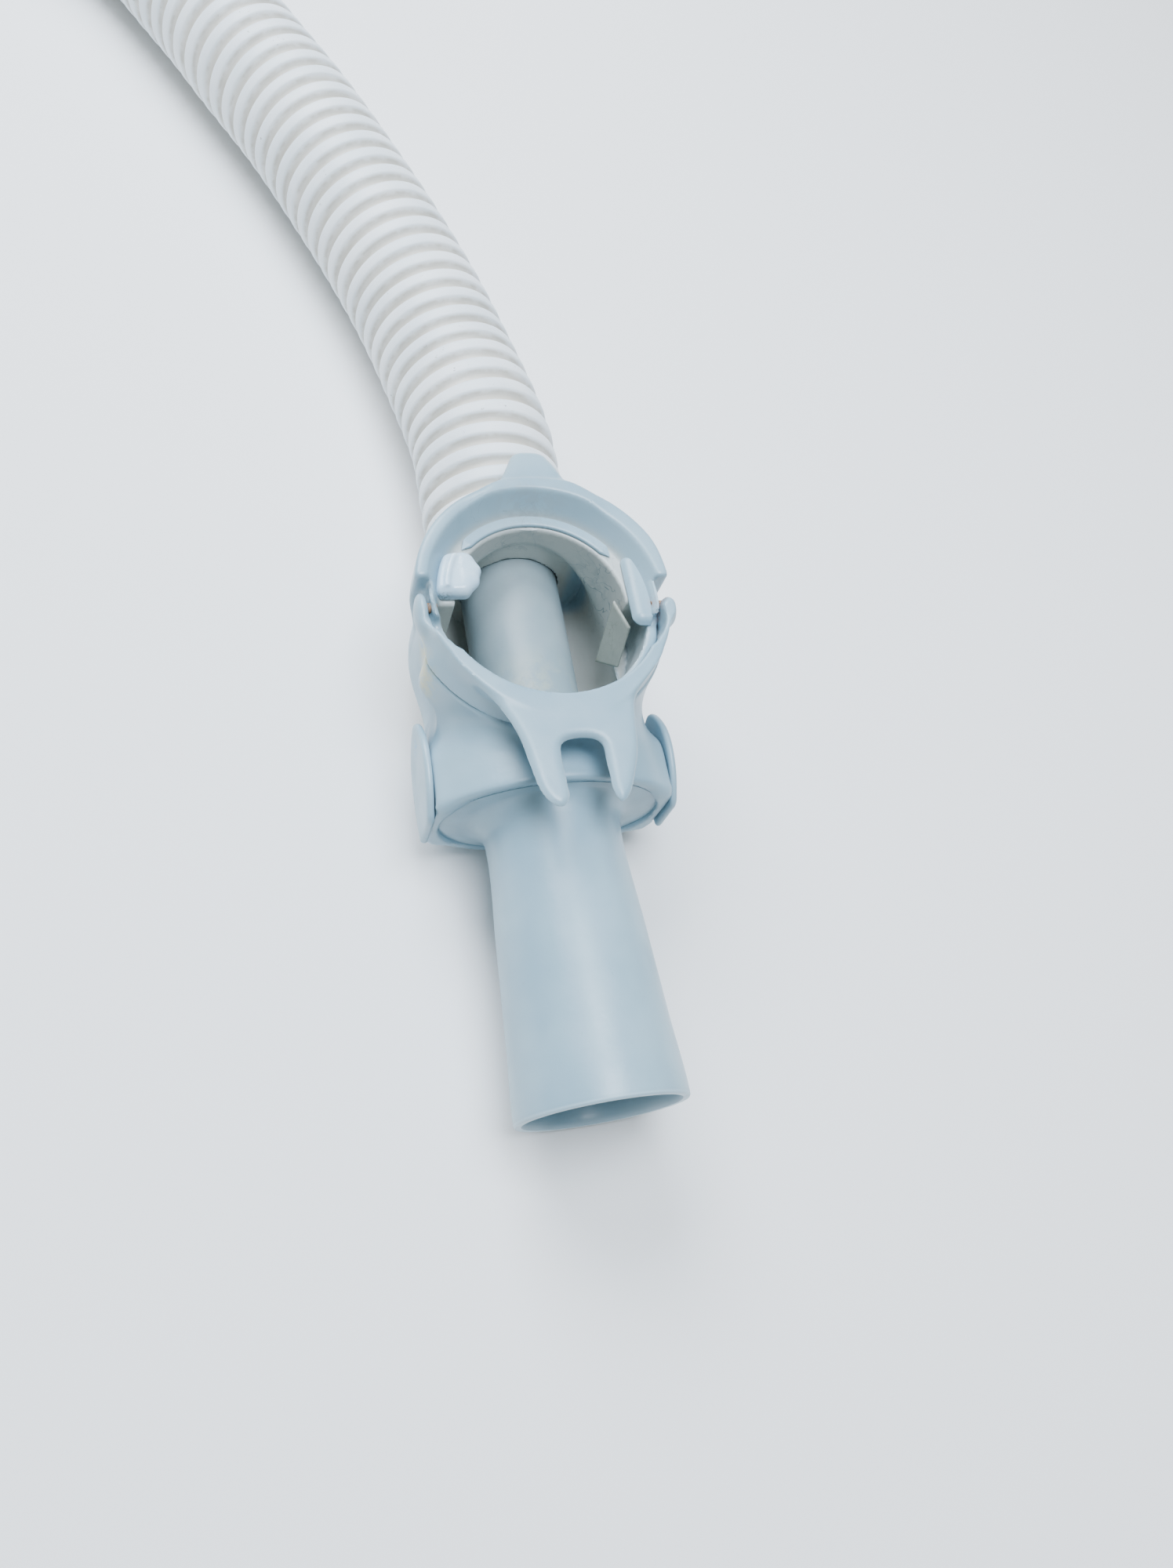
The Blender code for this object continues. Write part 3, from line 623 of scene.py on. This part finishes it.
def makeHose():
    line = smoothRoute((hose["exit"], hose["straightEnd"], *hose["route"]), hose["pitch"] / hose["perRib"])
    length = np.linalg.norm(np.diff(line, axis=0), axis=1).sum()
    station = np.linspace(0, length, len(line))
    # A rib's height is an eased step up from the groove, a flat crest and an eased step down.
    phase = (station / hose["pitch"] + 0.25) % 1.0
    half = hose["crest"] / 2
    crest = 1 - smoothStep((np.abs(phase - 0.5) - half + hose["shoulder"] / 2) / hose["shoulder"])
    crowned = hose["crown"] * np.clip(1 - ((phase - 0.5) / half) ** 2, 0, 1)
    radii = hose["outer"] - hose["crown"] + crowned - hose["depth"] * (1 - crest)
    outside = ringsAlong(line, radii, hose["round"])
    picked = np.unique(np.concatenate([np.arange(0, len(line), hose["perRib"]), [len(line) - 1]]))[::-1]
    inside = ringsAlong(line, np.full(len(line), hose["bore"]), hose["round"])[picked]
    points, quads = gridSurface(np.concatenate([outside, inside]), closeU=True)
    white = np.concatenate([crest, np.zeros(len(picked))]).repeat(hose["round"])
    piece = addPiece(
        "ribbed_hose", points, quads, "hose_line", hoseEva,
        ("hose", "hose_grip_end"), sharp=None, channels={"crest": white},
    )
    return piece, line


# Cuff on the hose's far end: soft plastic moulded over the ribs, with a collar to grip.
cuff = {
    "outline": (
        (19.3, 0.3, 0.6),
        (24.8, 0.3, 1.2),
        (26.4, 1.0, 0.8),
        (27.0, 2.6, 1.0),
        (27.0, 11.0, 1.2),
        (25.2, 14.2, 1.6),
        (24.9, 30.0, 2.0),
        (24.6, 45.0, 1.0),
        (23.9, 46.0, 0.6),
        (21.6, 46.0, 0.6),
        (20.0, 16.0, 0.8),
        (19.3, 14.0, 0.8),
    ),
    "seal": (25.6, 18.2, 1.0),
    "grips": 36,
    "gripDepth": 0.012,
}


def makeCuff(line):
    along = line[-1] - line[-8]
    along /= np.linalg.norm(along)
    outline = refine(roundedOutline(cuff["outline"]), 1.5)

    def grips(angle, reach):
        band = smoothStep((reach - 1.5) / 1.5) * smoothStep((11.5 - reach) / 1.5)
        return -cuff["gripDepth"] * band * (0.5 + 0.5 * np.cos(cuff["grips"] * angle)) ** 4

    points, quads = turnedSurface(outline, 216, line[-1], along, grips)
    crest = np.full(len(points), 1.0)
    addPiece(
        "hose_cuff", points, quads, "hose_line", hoseEva, ("end_cuff",),
        channels={"crest": crest},
    )
    radius, reach, thick = cuff["seal"]
    ring = np.linspace(0, 2 * pi, 16, endpoint=False)
    outline = np.stack([radius + thick * np.cos(ring), reach + thick * np.sin(ring)], axis=1)
    points, quads = turnedSurface(outline, 96, line[-1], along)
    addPiece(
        "hose_cuff_seal", points, quads, "hose_line", blackRubber, ("end_cuff_seal",), None,
    )


hosePiece, hoseLine = makeHose()
makeCuff(hoseLine)
print("hose made")


# Distance to an outline's sides in a plane, less than zero inside it.
def outlineDistance(a, b, outline):
    best, inside = np.full(np.shape(a), np.inf), np.zeros(np.shape(a), bool)
    for (a0, b0), (a1, b1) in zip(outline, np.roll(outline, -1, axis=0)):
        da, db = a1 - a0, b1 - b0
        t = np.clip(((a - a0) * da + (b - b0) * db) / (da * da + db * db), 0, 1)
        best = np.minimum(best, (a - a0 - t * da) ** 2 + (b - b0 - t * db) ** 2)
        inside ^= ((b0 > b) != (b1 > b)) & (a < a0 + (b - b0) * da / (db if db else 1e-9))
    return np.where(inside, -np.sqrt(best), np.sqrt(best))


# Distance to a box: where two or three sides are passed, the gap is measured to the edge or corner.
def boxDistance(x, y, z, low, high):
    sides = [slab(v, a, b) for v, a, b in zip((x, y, z), low, high)]
    outside = np.sqrt(sum(np.maximum(s, 0) ** 2 for s in sides))
    return outside + np.minimum(np.maximum.reduce(sides), 0)


# Bail: half a ring with a thin lip and a skirt that flares out below it, a neck and a fork.
# The neck and fork are one outline: half of the corners run down the right, half up the left.
bail = {
    "lip": 35.8,
    "wallInner": 36.4,
    "outer": 38.4,
    "flare": 3.2,
    "flareRight": 1.0,
    "plateUnder": 66.2,
    "wallUnder": 57.7,
    "right": (
        (31.0, 14.5, 4), (24.4, 4.6, 8), (20.3, -2.0, 6), (19.2, -9.0, 6), (18.4, -18.0, 8),
        (15.8, -26.6, 6), (13.2, -32.6, 4), (9.8, -35.4, 3.2), (7.6, -31.6, 2.0),
    ),
    "slot": ((7.4, -21.0, 6), (7.3, -14.3, 7.0), (-4.9, -14.3, 7.0), (-5.0, -21.0, 6)),
    "left": (
        (-4.4, -32.4, 2.0), (-7.2, -35.6, 3.2), (-11.0, -33.8, 4), (-13.9, -29.0, 6), (-15.2, -21.0, 8),
        (-16.4, -13.6, 6), (-19.0, -6.6, 6), (-24.6, 3.0, 8), (-31.0, 14.5, 4),
    ),
    "inner": (0.0, 16.0, 1.0),
    "low": (-43.5, -37, 56.5),
    "high": (43.5, 40, 71),
    "cell": 0.6,
}
forkOutline = roundedOutline((*bail["right"], *bail["slot"], *bail["left"], bail["inner"]), 6)


# How far the skirt stands out at a height: most at its foot and on the left, none near its ends.
def skirtFlare(x, y, z):
    lower = np.clip((rimZ - z) / (rimZ - bail["wallUnder"]), 0, 1)
    widest = bail["flare"] + (bail["flareRight"] - bail["flare"]) * smoothStep((x + 15) / 40)
    return widest * lower**1.4 * smoothStep((27 - y) / 12)


# Squeeze tabs. The plate is a leaf seen from the side, its outer face crowned and its edge rounded.
tab = {
    "leaf": (
        (-25.0, 21.0, 1.0), (-20.0, 19.6, 4), (-12.0, 19.0, 5), (0.5, 20.6, 6), (7.0, 27.5, 5),
        (9.6, 34.6, 2.6), (6.4, 39.4, 4), (0.0, 43.8, 6), (-7.0, 45.0, 6), (-16.0, 43.2, 6),
        (-24.6, 37.6, 2.4),
    ),
    "inner": 37.2,
    "outer": 39.9,
    "pivot": (35.9, -6.0),
    "rib": ((34.7, -8.2, 21.3), (37.6, -3.8, 36.7)),
    "trunnion": 1.1,
    "trunnionSpan": (19.6, 38.4),
    "high": (41.0, 10.6, 46.2),
    "low": (32.0, -26.0, 17.8),
    "cell": 0.45,
}
leafOutline = roundedOutline(tab["leaf"], 6)


# Body of the fitting. The bell's half-width and depth below the axis are given along the pipe.
body = {
    "stations": (-22, -20, -9, -3, 5, 17, 34.5, 53, 70, 79.6),
    "halfWidths": (38.9, 39.6, 39.6, 38.2, 35.7, 33.7, 31.5, 29.0, 27.2, 25.9),
    "depths": (29.0, 29.6, 29.7, 29.6, 29.6, 29.5, 29.2, 28.0, 26.6, 25.9),
    "top": 28.2,
    "frontArch": 0.3,  # how far the collar's top edge stands behind its sides
    "wall": 3.0,
    "floorWall": 4.2,
    "drum": 36.0,
    "frontTop": 62.0,
    "sideWall": 35.4,
    "sideStart": 28.0,
    "rearRim": 39.9,
    "rearStart": 39.5,
    "ledge": 61.8,
    "ledgeRadius": 31.5,
    "mouthRadius": 36.3,
    "chamber": 27.0,
    "chamberEnds": (8.5, 61.2),
    "frontBore": 33.0,
    "tubeHole": 16.7,
    "socket": 22.3,
    "socketFloor": 64.0,
    "flangeCavity": (34.6, 25.1),
    "flangeRear": -12.0,
    "bossBore": 24.0,
    "bossRear": 4.0,
    "tabSeat": 36.9,  # half-width at the squeeze tabs' backs
    "tabSlope": 9.5,  # degrees that the seat falls away behind their pivot
    "ribRoom": ((34.2, -8.7, 20.8), (46, -3.3, 37.2)),
    "low": (-42, -24, -1),
    "high": (43, 93, 71.5),
    "cell": 0.95,
}


def bellDistance(x, y, z, inset=0.0, floorInset=0.0):
    h = z - axisZ
    width = through(y, body["stations"], body["halfWidths"]) - inset
    down = through(y, body["stations"], body["depths"])
    depth = np.where(h > 0, np.minimum(down, body["top"]) - inset, down - floorInset)
    return ovalPipe(x, h, width, depth)


def tongueDistance(x, y, z):
    stations = (66, 77, 84, 92)
    left = through(y, stations, (-17.0, -8.0, -4.2, -0.5))
    right = through(y, stations, (19.5, 13.4, 11.2, 8.0))
    under = through(y, stations, (46.0, 54.4, 56.2, 60.0))
    top = through(y, stations, (69.4, 68.2, 66.6, 64.0))
    sides = smoothMax(left - x, x - right, 3.0) * 0.8
    levels = smoothMax(under - z, z - top, 1.5) * 0.8
    return smoothMax(smoothMax(sides, levels, 3.0), slab(y, 60, 90.6), 3.0)


def bodyDistance(x, y, z):
    h = z - axisZ
    front = collarY + body["frontArch"] * np.clip(h / body["top"], 0, 1) ** 2
    bell = smoothMax(bellDistance(x, y, z), np.maximum(front - y, y - body["stations"][-1]), 1.6)
    r = np.hypot(x, y - mouthY)
    drum = smoothMax(r - body["drum"], slab(z, 22, body["frontTop"]), 1.2)
    side = np.maximum(r - body["sideWall"], np.maximum(body["sideStart"] - y, 52 - z))
    side = smoothMax(side, z - rimZ, 1.0)
    # The rim behind the pivot stands proud, most on the right, and draws in lower down.
    bulge = 1.7 * smoothStep((x + 5) / 30) * smoothStep((y - 38) / 18)
    drawIn = 4.5 * smoothStep((58 - z) / 24)
    rear = smoothMax(r - body["rearRim"] - bulge + drawIn, body["rearStart"] - y, 1.2)
    rear = smoothMax(smoothMax(rear, z - rimZ, 1.4), 26 - z, 2.0)
    outer = smoothMin(smoothMin(bell, drum, 5.0), smoothMin(side, rear, 1.0), 2.5)
    outer = smoothMin(outer, tongueDistance(x, y, z), 4.0)
    # Shoulders that back the squeeze tabs, and a base that carries the skirt's line down.
    shoulder = boxDistance(np.abs(x), y, z, (22, -19, 16), (34.6, -6, 39)) - 2.2
    outer = smoothMin(outer, shoulder, 6.0)
    base = r - bail["outer"] - skirtFlare(x, y, bail["wallUnder"]) + 0.2 - 0.03 * (bail["wallUnder"] - z)
    base = smoothMax(base, np.maximum(z - bail["wallUnder"] + 0.5, 44 - z), 1.0)
    base = smoothMax(base, y - 21, 5.0)
    outer = smoothMin(outer, base, 8.0)

    chamber = bellDistance(x, y, z, body["wall"], body["floorWall"])
    chamber = np.maximum(chamber, slab(y, *body["chamberEnds"]))
    bore = np.maximum(r - body["chamber"], axisZ - z)
    slope = (body["mouthRadius"] - body["ledgeRadius"]) / (rimZ - body["ledge"])
    cone = (r - body["ledgeRadius"] - slope * (z - body["ledge"])) * 0.85
    cone = np.maximum(cone, body["ledge"] - z)
    frontBore = np.maximum(r - body["frontBore"], np.maximum(40 - z, y - mouthY))
    hollow = smoothMin(smoothMin(chamber, bore, 2.0), smoothMin(cone, frontBore, 1.0), 0.8)
    pipe = np.hypot(x, h)
    hole = np.maximum(pipe - body["tubeHole"], slab(y, -30, 72))
    socket = np.maximum(pipe - body["socket"], body["socketFloor"] - y)
    flange = np.maximum(ovalPipe(x, h, *body["flangeCavity"]), y - body["flangeRear"])
    boss = np.maximum(pipe - body["bossBore"], y - body["bossRear"])
    hollow = np.minimum(np.minimum(hollow, hole), np.minimum(socket, np.minimum(flange, boss)))
    shell = smoothMax(outer, -hollow, 0.9)

    # Room for the squeeze tabs: as their outline, and sloped in behind the pivot.
    inward = np.maximum(y - tab["pivot"][1], 0) * np.tan(radians(body["tabSlope"]))
    recess = np.maximum(body["tabSeat"] - inward - np.abs(x), outlineDistance(y, z, leafOutline) - 0.4)
    rib = boxDistance(np.abs(x), y, z, *body["ribRoom"])
    shell = smoothMax(shell, -np.minimum(recess, rib), 0.4)
    return smoothMax(shell, -z, 0.5)


def addField(name, field, data, rides, material, replaced):
    points, quads = implicitSurface(field, data["low"], data["high"], data["cell"])
    channels = creaseAndEdge(field, points)
    # The inside mask marks where the chamber's film and its painted light go.
    deep = smoothStep((34.5 - np.hypot(points[:, 0], points[:, 1] - mouthY)) / 3)
    channels["inside"] = deep * smoothStep((66 - points[:, 2]) / 6) * (name == "fitting_body")
    addPiece(name, points, quads, rides, material, replaced, sharp=48, channels=channels)


addField("fitting_body", bodyDistance, body, "fitting", paleBlueAbs, ("chamber_body",))
print("body made")


def bailDistance(x, y, z):
    r = np.hypot(x, y - mouthY)
    within = bail["wallInner"] - (bail["wallInner"] - bail["lip"]) * smoothStep((z - 65.6) / 1.2)
    clear = bail["lip"] + 0.1 - np.abs(x) - 0.06 * np.maximum(26 - y, 0) ** 2
    ring = smoothMax(r - bail["outer"] - skirtFlare(x, y, z), np.maximum(within - r, clear), 1.1)
    # The ring's ends: the left one slopes down to its ear, the right one is blunt.
    end = np.where(x < 0, 21.6 + 1.1 * (rimZ - z), 29.0 + 0.4 * (rimZ - z))
    ring = smoothMax(ring, (y - end) * 0.75, 1.6)
    ring = smoothMax(ring, slab(z, bail["wallUnder"], rimZ - 0.05), 1.0)
    # Ears: an egg round the pivot on the left, a taller one on the right that ends the lip.
    left = np.sqrt(((x + 37.9) / 2.1) ** 2 + ((y - 31) / 6.2) ** 2 + ((z - 62.6) / 4.9) ** 2) - 1
    right = np.sqrt(((x - 38.2) / 2.2) ** 2 + ((y - 28.8) / 4.6) ** 2 + ((z - 65.4) / 4.4) ** 2) - 1
    ear = np.maximum(np.minimum(left, right) * 2.0, bail["wallInner"] - np.abs(x))
    ring = smoothMin(ring, ear, 2.4)
    fork = outlineDistance(x, y, forkOutline)
    fork = np.maximum(fork, within - 0.4 - r)
    crown = rimZ - 0.05 - 0.9 * smoothStep((-12 - y) / 20) - 0.5 * smoothStep((np.abs(x - 1) - 9) / 14)
    plate = smoothMax(fork, np.maximum(bail["plateUnder"] - z, z - crown), 3.0)
    bailShape = smoothMin(ring, plate, 4.0)
    return np.maximum(bailShape, z - rimZ)


addField("bail_and_fork", bailDistance, bail, "bail", paleBlueAbs, ("latch_yoke",))
print("bail made")


def tabDistance(side):
    def distance(x, y, z):
        x = side * x
        leaf = outlineDistance(y, z, leafOutline)
        crown = tab["outer"] - 0.5 * np.clip(1 + leaf / 8, 0, 1) ** 2
        plate = smoothMax(leaf, np.maximum(tab["inner"] - x, x - crown), 1.3)
        rib = boxDistance(x, y, z, *tab["rib"])
        pin = np.hypot(x - tab["pivot"][0], y - tab["pivot"][1]) - tab["trunnion"]
        pin = np.maximum(pin, slab(z, *tab["trunnionSpan"]))
        return smoothMin(plate, np.minimum(rib, pin), 0.5)

    return distance


for side, label in ((-1, "left"), (1, "right")):
    across = sorted((side * tab["low"][0], side * tab["high"][0]))
    limits = {
        "low": (across[0], *tab["low"][1:]),
        "high": (across[1], *tab["high"][1:]),
        "cell": tab["cell"],
    }
    addField(
        f"squeeze_tab_{label}", tabDistance(side), limits, f"tab_{label}",
        paleBlueAbs, (f"release_tab_{label}",),
    )
print("tabs made")


# Spigot: an oval flange that coves down to a straight taper. Each row of the outside gives the
# station, half-width and half-height, and each row of the bore the station and radius.
spigot = {
    "outside": (
        (-112.5, 24.9, 24.9), (-111.9, 25.3, 25.3), (-90.0, 24.0, 24.0), (-60.0, 22.4, 22.4),
        (-34.0, 20.9, 20.9), (-28.5, 21.1, 21.1), (-26.0, 21.8, 21.6), (-24.2, 23.3, 22.3),
        (-23.0, 25.4, 23.1), (-22.3, 28.2, 23.7), (-21.9, 31.4, 24.3), (-21.8, 34.1, 24.9),
    ),
    "rear": (
        (-21.7, 34.65, 25.15), (-12.3, 34.65, 25.15), (-12.3, 23.7, 23.7), (0.0, 23.7, 23.7),
        (0.0, 16.7, 16.7),
    ),
    "bore": (
        (-18.3, 16.7), (-18.3, 14.2), (-24.0, 15.6), (-37.0, 18.4), (-80.0, 21.0), (-111.8, 22.8),
        (-112.5, 23.2),
    ),
    "round": 128,
}


def makeSpigot():
    ys = [row[0] for row in spigot["outside"]]
    even = np.concatenate([np.linspace(ys[0], ys[1], 4), np.linspace(-110.5, ys[-1], 110)])
    width, height = (through(even, ys, [row[k] for row in spigot["outside"]]) for k in (1, 2))
    rear, bore = np.array(spigot["rear"]), np.array(spigot["bore"])
    rows = np.vstack([np.stack([even, width, height], axis=1), rear, bore[:, [0, 1, 1]]])
    rows = refine(rows, 2.5)
    angle = np.linspace(0, 2 * pi, spigot["round"], endpoint=False)[None, :]
    x = rows[:, 1:2] * np.cos(angle)
    z = axisZ + rows[:, 2:3] * np.sin(angle)
    points, quads = gridSurface(np.stack([x, np.broadcast_to(rows[:, :1], x.shape), z], axis=2), closeU=True)
    # Painted shade: the spigot darkens towards its root in the collar's cove, laid through the crease
    # channel.
    paintedCoveShade = smoothStep((points[:, 1] + 30) / 8) * 0.9
    mouthEdge = smoothStep((-110.6 - points[:, 1]) / 1.6)
    addPiece(
        "spigot", points, quads, "fitting", paleBlueAbs, ("spigot_tube",), 40,
        {"crease": paintedCoveShade, "edge": mouthEdge},
    )


makeSpigot()
print("spigot made")


# Turned pieces on the pipe's axis: (radius, station, rounding) corners of half of each section.
turned = {
    "inner_pipe": (
        "inner_tube", "fitting", "grey_polypropylene", greyPolypropylene,
        ((14.2, -18.0, 0.3), (16.4, -18.0, 0.4), (16.4, 67.3, 0.4), (14.2, 67.3, 0.3)),
    ),
    "turning_sleeve": (
        "swivel_sleeve", "hose_line", "grey_polypropylene", greyPolypropylene,
        (
            (16.4, 68.0, 0.3), (21.9, 68.0, 0.4), (21.9, 70.5, 0.4), (19.0, 70.5, 0.3), (19.0, 110.5, 1.0),
            (18.2, 112.5, 0.6), (16.4, 112.5, 0.5),
        ),
    ),
    "lock_ring": (
        "swivel_retaining_ring", "fitting", "pale_blue_abs", paleBlueAbs,
        ((19.4, 74.1, 0.4), (22.0, 74.1, 0.4), (22.0, 79.5, 0.6), (19.4, 79.5, 0.5)),
    ),
    "slip_washer": (
        "swivel_washer", "fitting", "white_ptfe", whitePtfe,
        ((16.8, 66.35, 0.2), (21.8, 66.35, 0.2), (21.8, 67.6, 0.2), (16.8, 67.6, 0.2)),
    ),
}
for name, (node, rides, slot, material, corners) in turned.items():
    outline = refine(roundedOutline(corners, 4), 3.0)
    points, quads = turnedSurface(outline, 112)
    # Painted shade: the inner pipe darkens towards its rear end inside the chamber, laid through the crease
    # channel; the other turned pieces get none.
    reach = np.full(len(points), 0.0) if name != "inner_pipe" else smoothStep((points[:, 1] - 45) / 20)
    addPiece(name, points, quads, rides, material, (node,), 35, {"crease": reach, "edge": 0 * reach})

# Rubber rings, round in section: (name, node, middle radius, station, half-thickness), all riding on the
# fitting.
for name, node, radius, station, thick in (
    ("pipe_end_seal", "inner_tube_seal", 19.3, 65.15, 0.82),
    ("spigot_boss_seal", "spigot_seal", 20.1, 2.0, 1.6),
    ("sleeve_seal", "swivel_seal", 20.65, 72.25, 1.3),
):
    ring = np.linspace(0, 2 * pi, 20, endpoint=False)
    outline = np.stack([radius + thick * np.cos(ring), station + thick * np.sin(ring)], axis=1)
    points, quads = turnedSurface(outline, 96)
    addPiece(name, points, quads, "fitting", blackRubber, (node,), None)
print("turned pieces made")


# Pieces seated in the mouth: a rail round the ledge, two pivot blocks and a flap. Each block is a
# box grown by its rounding and trimmed to the wall it sits on.
seatTop = 62.1
seat = {"inner": 27.8, "outer": 31.2, "low": 62.0, "top": 63.2, "from": 34, "to": 140}
blockLeft = {
    "box": ((-40, 38.4, 60.0), (-24.6, 48.0, 64.0)),
    "rounding": 2.6,
    "knuckles": ((47.6, -22.4, 2.4), (44.4, -21.2, 2.8), (40.8, -21.8, 2.4)),  # y, x and size
    "wall": 33.0,
    "low": (-34.5, 22, 60),
    "high": (-13, 55, 69.5),
    "cell": 0.45,
}
blockRight = {
    "box": ((30.6, 29.0, 60.0), (40, 48.0, 61.4)),
    "rounding": 3.4,
    "wall": 34.2,
    "low": (24, 22, 60),
    "high": (34.5, 52, 69),
    "cell": 0.45,
}
baffle = {
    "corners": ((22.8, 28.5, 36.0), (27.1, 22.5, 45.0), (24.6, 38.0, 57.5)),
    "lean": 0.45,  # slope of its lower edge
    "top": 57.6,
    "halfThick": 0.55,
    "clearance": 0.35,
    "low": (20.5, 17, 33),
    "high": (34, 42, 60),
    "cell": 0.45,
}


def blockLeftDistance(x, y, z):
    r = np.hypot(x, y - mouthY)
    core = boxDistance(x, y, z, *blockLeft["box"]) - blockLeft["rounding"]
    block = smoothMax(core, r - blockLeft["wall"], 2.2)
    # Knuckles on its inner side, and the flash of the parting line along its outer edge.
    knuckles = np.full(np.shape(x), 9.0)
    for y0, x0, size in blockLeft["knuckles"]:
        ball = np.sqrt((x - x0) ** 2 + (y - y0) ** 2 + (1.25 * (z - 64.4)) ** 2) - size
        knuckles = smoothMin(knuckles, ball, 1.8)
    flash = np.hypot(r - 30.0, z - 66.6) - 0.7
    flash = np.maximum(flash, slab(y, 38, 49))
    block = smoothMin(smoothMin(block, knuckles, 2.6), flash, 1.2)
    return smoothMax(block, seatTop - z, 0.5)


def blockRightDistance(x, y, z):
    r = np.hypot(x, y - mouthY)
    core = boxDistance(x, y, z, *blockRight["box"]) - blockRight["rounding"]
    return smoothMax(core, np.maximum(r - blockRight["wall"], seatTop - z), 0.5)


# A flat flap that leans over to the right wall. It stands on three of its corners: the field is
# the distance to their plane, held between its edges.
def baffleDistance(x, y, z):
    root, front, rear = (np.array(corner, float) for corner in baffle["corners"])
    along = (rear - root) / np.linalg.norm(rear - root)
    normal = np.cross(along, front - root)
    normal /= np.linalg.norm(normal)
    out = np.cross(normal, along)
    gap = [x - root[0], y - root[1], z - root[2]]
    s, t, off = (sum(g * d for g, d in zip(gap, way)) for way in (out, along, normal))
    sides = np.maximum(-s, s - abs(np.dot(front - root, out)))
    lean = baffle["lean"] * np.sign(np.dot(front - root, along))
    ends = np.maximum(lean * s - t, z - baffle["top"])
    sheet = smoothMax(np.abs(off) - baffle["halfThick"], np.maximum(sides, ends), 0.7)
    return smoothMax(sheet, baffle["clearance"] - bodyDistance(x, y, z), 0.6)


addField(
    "pivot_block_left", blockLeftDistance, blockLeft, "fitting", whiteNylon,
    ("pin_boss_left",),
)
addField(
    "pivot_block_right", blockRightDistance, blockRight, "fitting", paleBlueAbs,
    ("pin_boss_right",),
)
# The flap's dark olive is partly yellowed nylon and partly painted shade.
addField(
    "water_baffle", baffleDistance, baffle, "fitting", agedNylonPaintedShade,
    ("baffle_plate",),
)

turn = np.radians(np.linspace(seat["from"], seat["to"], 90))[:, None]
corners = (
    (seat["inner"], seat["low"], 0.3),
    (seat["outer"], seat["low"], 0.3),
    (seat["outer"], seat["top"], 0.3),
    (seat["inner"] + 0.2, seat["top"] - 0.1, 0.9),
)
section = refine(roundedOutline(corners, 5), 0.8)
# The rail thins out towards both ends, where it closes on a point.
middle = section.mean(axis=0)
middle[1] = seat["low"] + 0.3
shrink = np.clip(np.sin(np.linspace(0, pi, 90)) * 6, 0.001, 1)
section = middle + (section - middle)[None] * shrink[:, None, None]
across, height = section[..., 0], section[..., 1]
rail = np.stack([across * np.cos(turn), mouthY + across * np.sin(turn), height], axis=2)
points, quads = gridSurface(rail)
plain = np.zeros(len(points))
addPiece(
    "seat_rail", points, quads, "fitting", paleBlueAbs, ("mouth_seat_rail",), 50,
    {"crease": plain, "edge": plain + 0.3},
)

# Pivot pins: short rods of rusted wire with their ends broken round.
pin = {"radius": 1.5, "from": 33.4, "to": 39.0}
for side, label in ((-1, "left"), (1, "right")):
    corners = (
        (0.001, pin["from"], 0), (pin["radius"], pin["from"], 0.4), (pin["radius"], pin["to"], 0.5),
        (0.001, pin["to"], 0),
    )
    outline = refine(roundedOutline(corners, 4), 0.8)
    points, quads = turnedSurface(outline, 32, (0, pivotY, pivotZ), (side, 0, 0))
    addPiece(f"pivot_pin_{label}", points, quads, "fitting", rustyWire, (f"yoke_pin_{label}",))
print("mouth pieces made")


# Studio: a pale floor, a broad soft light from behind, one overhead, and a bright room.
def addFloor():
    mesh = bpy.data.meshes.new("studio_floor")
    reach, below = 4, -0.0005
    corners = [(x * reach, y * reach, below) for x, y in ((-1, -1), (1, -1), (1, 1), (-1, 1))]
    mesh.from_pydata(corners, [], [(0, 1, 2, 3)])
    material, tree, shader = newMaterial("paleFloor")
    shader.inputs["Base Color"].default_value = linear("#F4F5F5")
    shader.inputs["Roughness"].default_value = 0.85
    shader.inputs["Specular IOR Level"].default_value = 0.2
    mesh.materials.append(material)
    floor = bpy.data.objects.new("studio_floor", mesh)
    bpy.context.scene.collection.objects.link(floor)


def addLight(name, place, aim, size, power, hexColour):
    data = bpy.data.lights.new(name, "AREA")
    data.shape = "RECTANGLE"
    data.size, data.size_y = size
    data.energy = power
    data.color = linear(hexColour)[:3]
    lamp = bpy.data.objects.new(name, data)
    lamp.location = place
    way = Vector(aim) - Vector(place)
    lamp.rotation_euler = way.to_track_quat("-Z", "Y").to_euler()
    bpy.context.scene.collection.objects.link(lamp)


addFloor()
addLight("window", (-0.35, 0.95, 1.05), (0, 0.03, 0.03), (0.9, 0.7), 32.0, "#EEF5FF")
addLight("ceiling", (0.02, 0.02, 1.25), (0, 0.03, 0.03), (0.6, 0.6), 26.0, "#E6F1FF")
room = bpy.data.worlds.new("room")
room.use_nodes = True
room.node_tree.nodes["Background"].inputs["Color"].default_value = linear("#F1F1EC")
room.node_tree.nodes["Background"].inputs["Strength"].default_value = 0.42
bpy.context.scene.world = room

# The camera looks down at the fitting from in front of the spigot, a little to its left.
camera = {
    "place": (-0.1012, -0.1513, 0.3546),
    "right": (0.94911, -0.17799, 0.25982),
    "up": (0.05824, 0.90995, 0.41061),
    "forward": (0.30950, 0.37458, -0.87401),
    "lens": 27.0,
    "sensor": 36.0,
}
lens = bpy.data.cameras.new("camera")
lens.sensor_fit = "AUTO"
lens.sensor_width = camera["sensor"]
lens.lens = camera["lens"]
lens.clip_start = 0.01
view = bpy.data.objects.new("camera", lens)
backward = [-value for value in camera["forward"]]
turn = Matrix([camera["right"], camera["up"], backward]).transposed().to_4x4()
view.matrix_world = Matrix.Translation(camera["place"]) @ turn
bpy.context.scene.collection.objects.link(view)
bpy.context.scene.camera = view
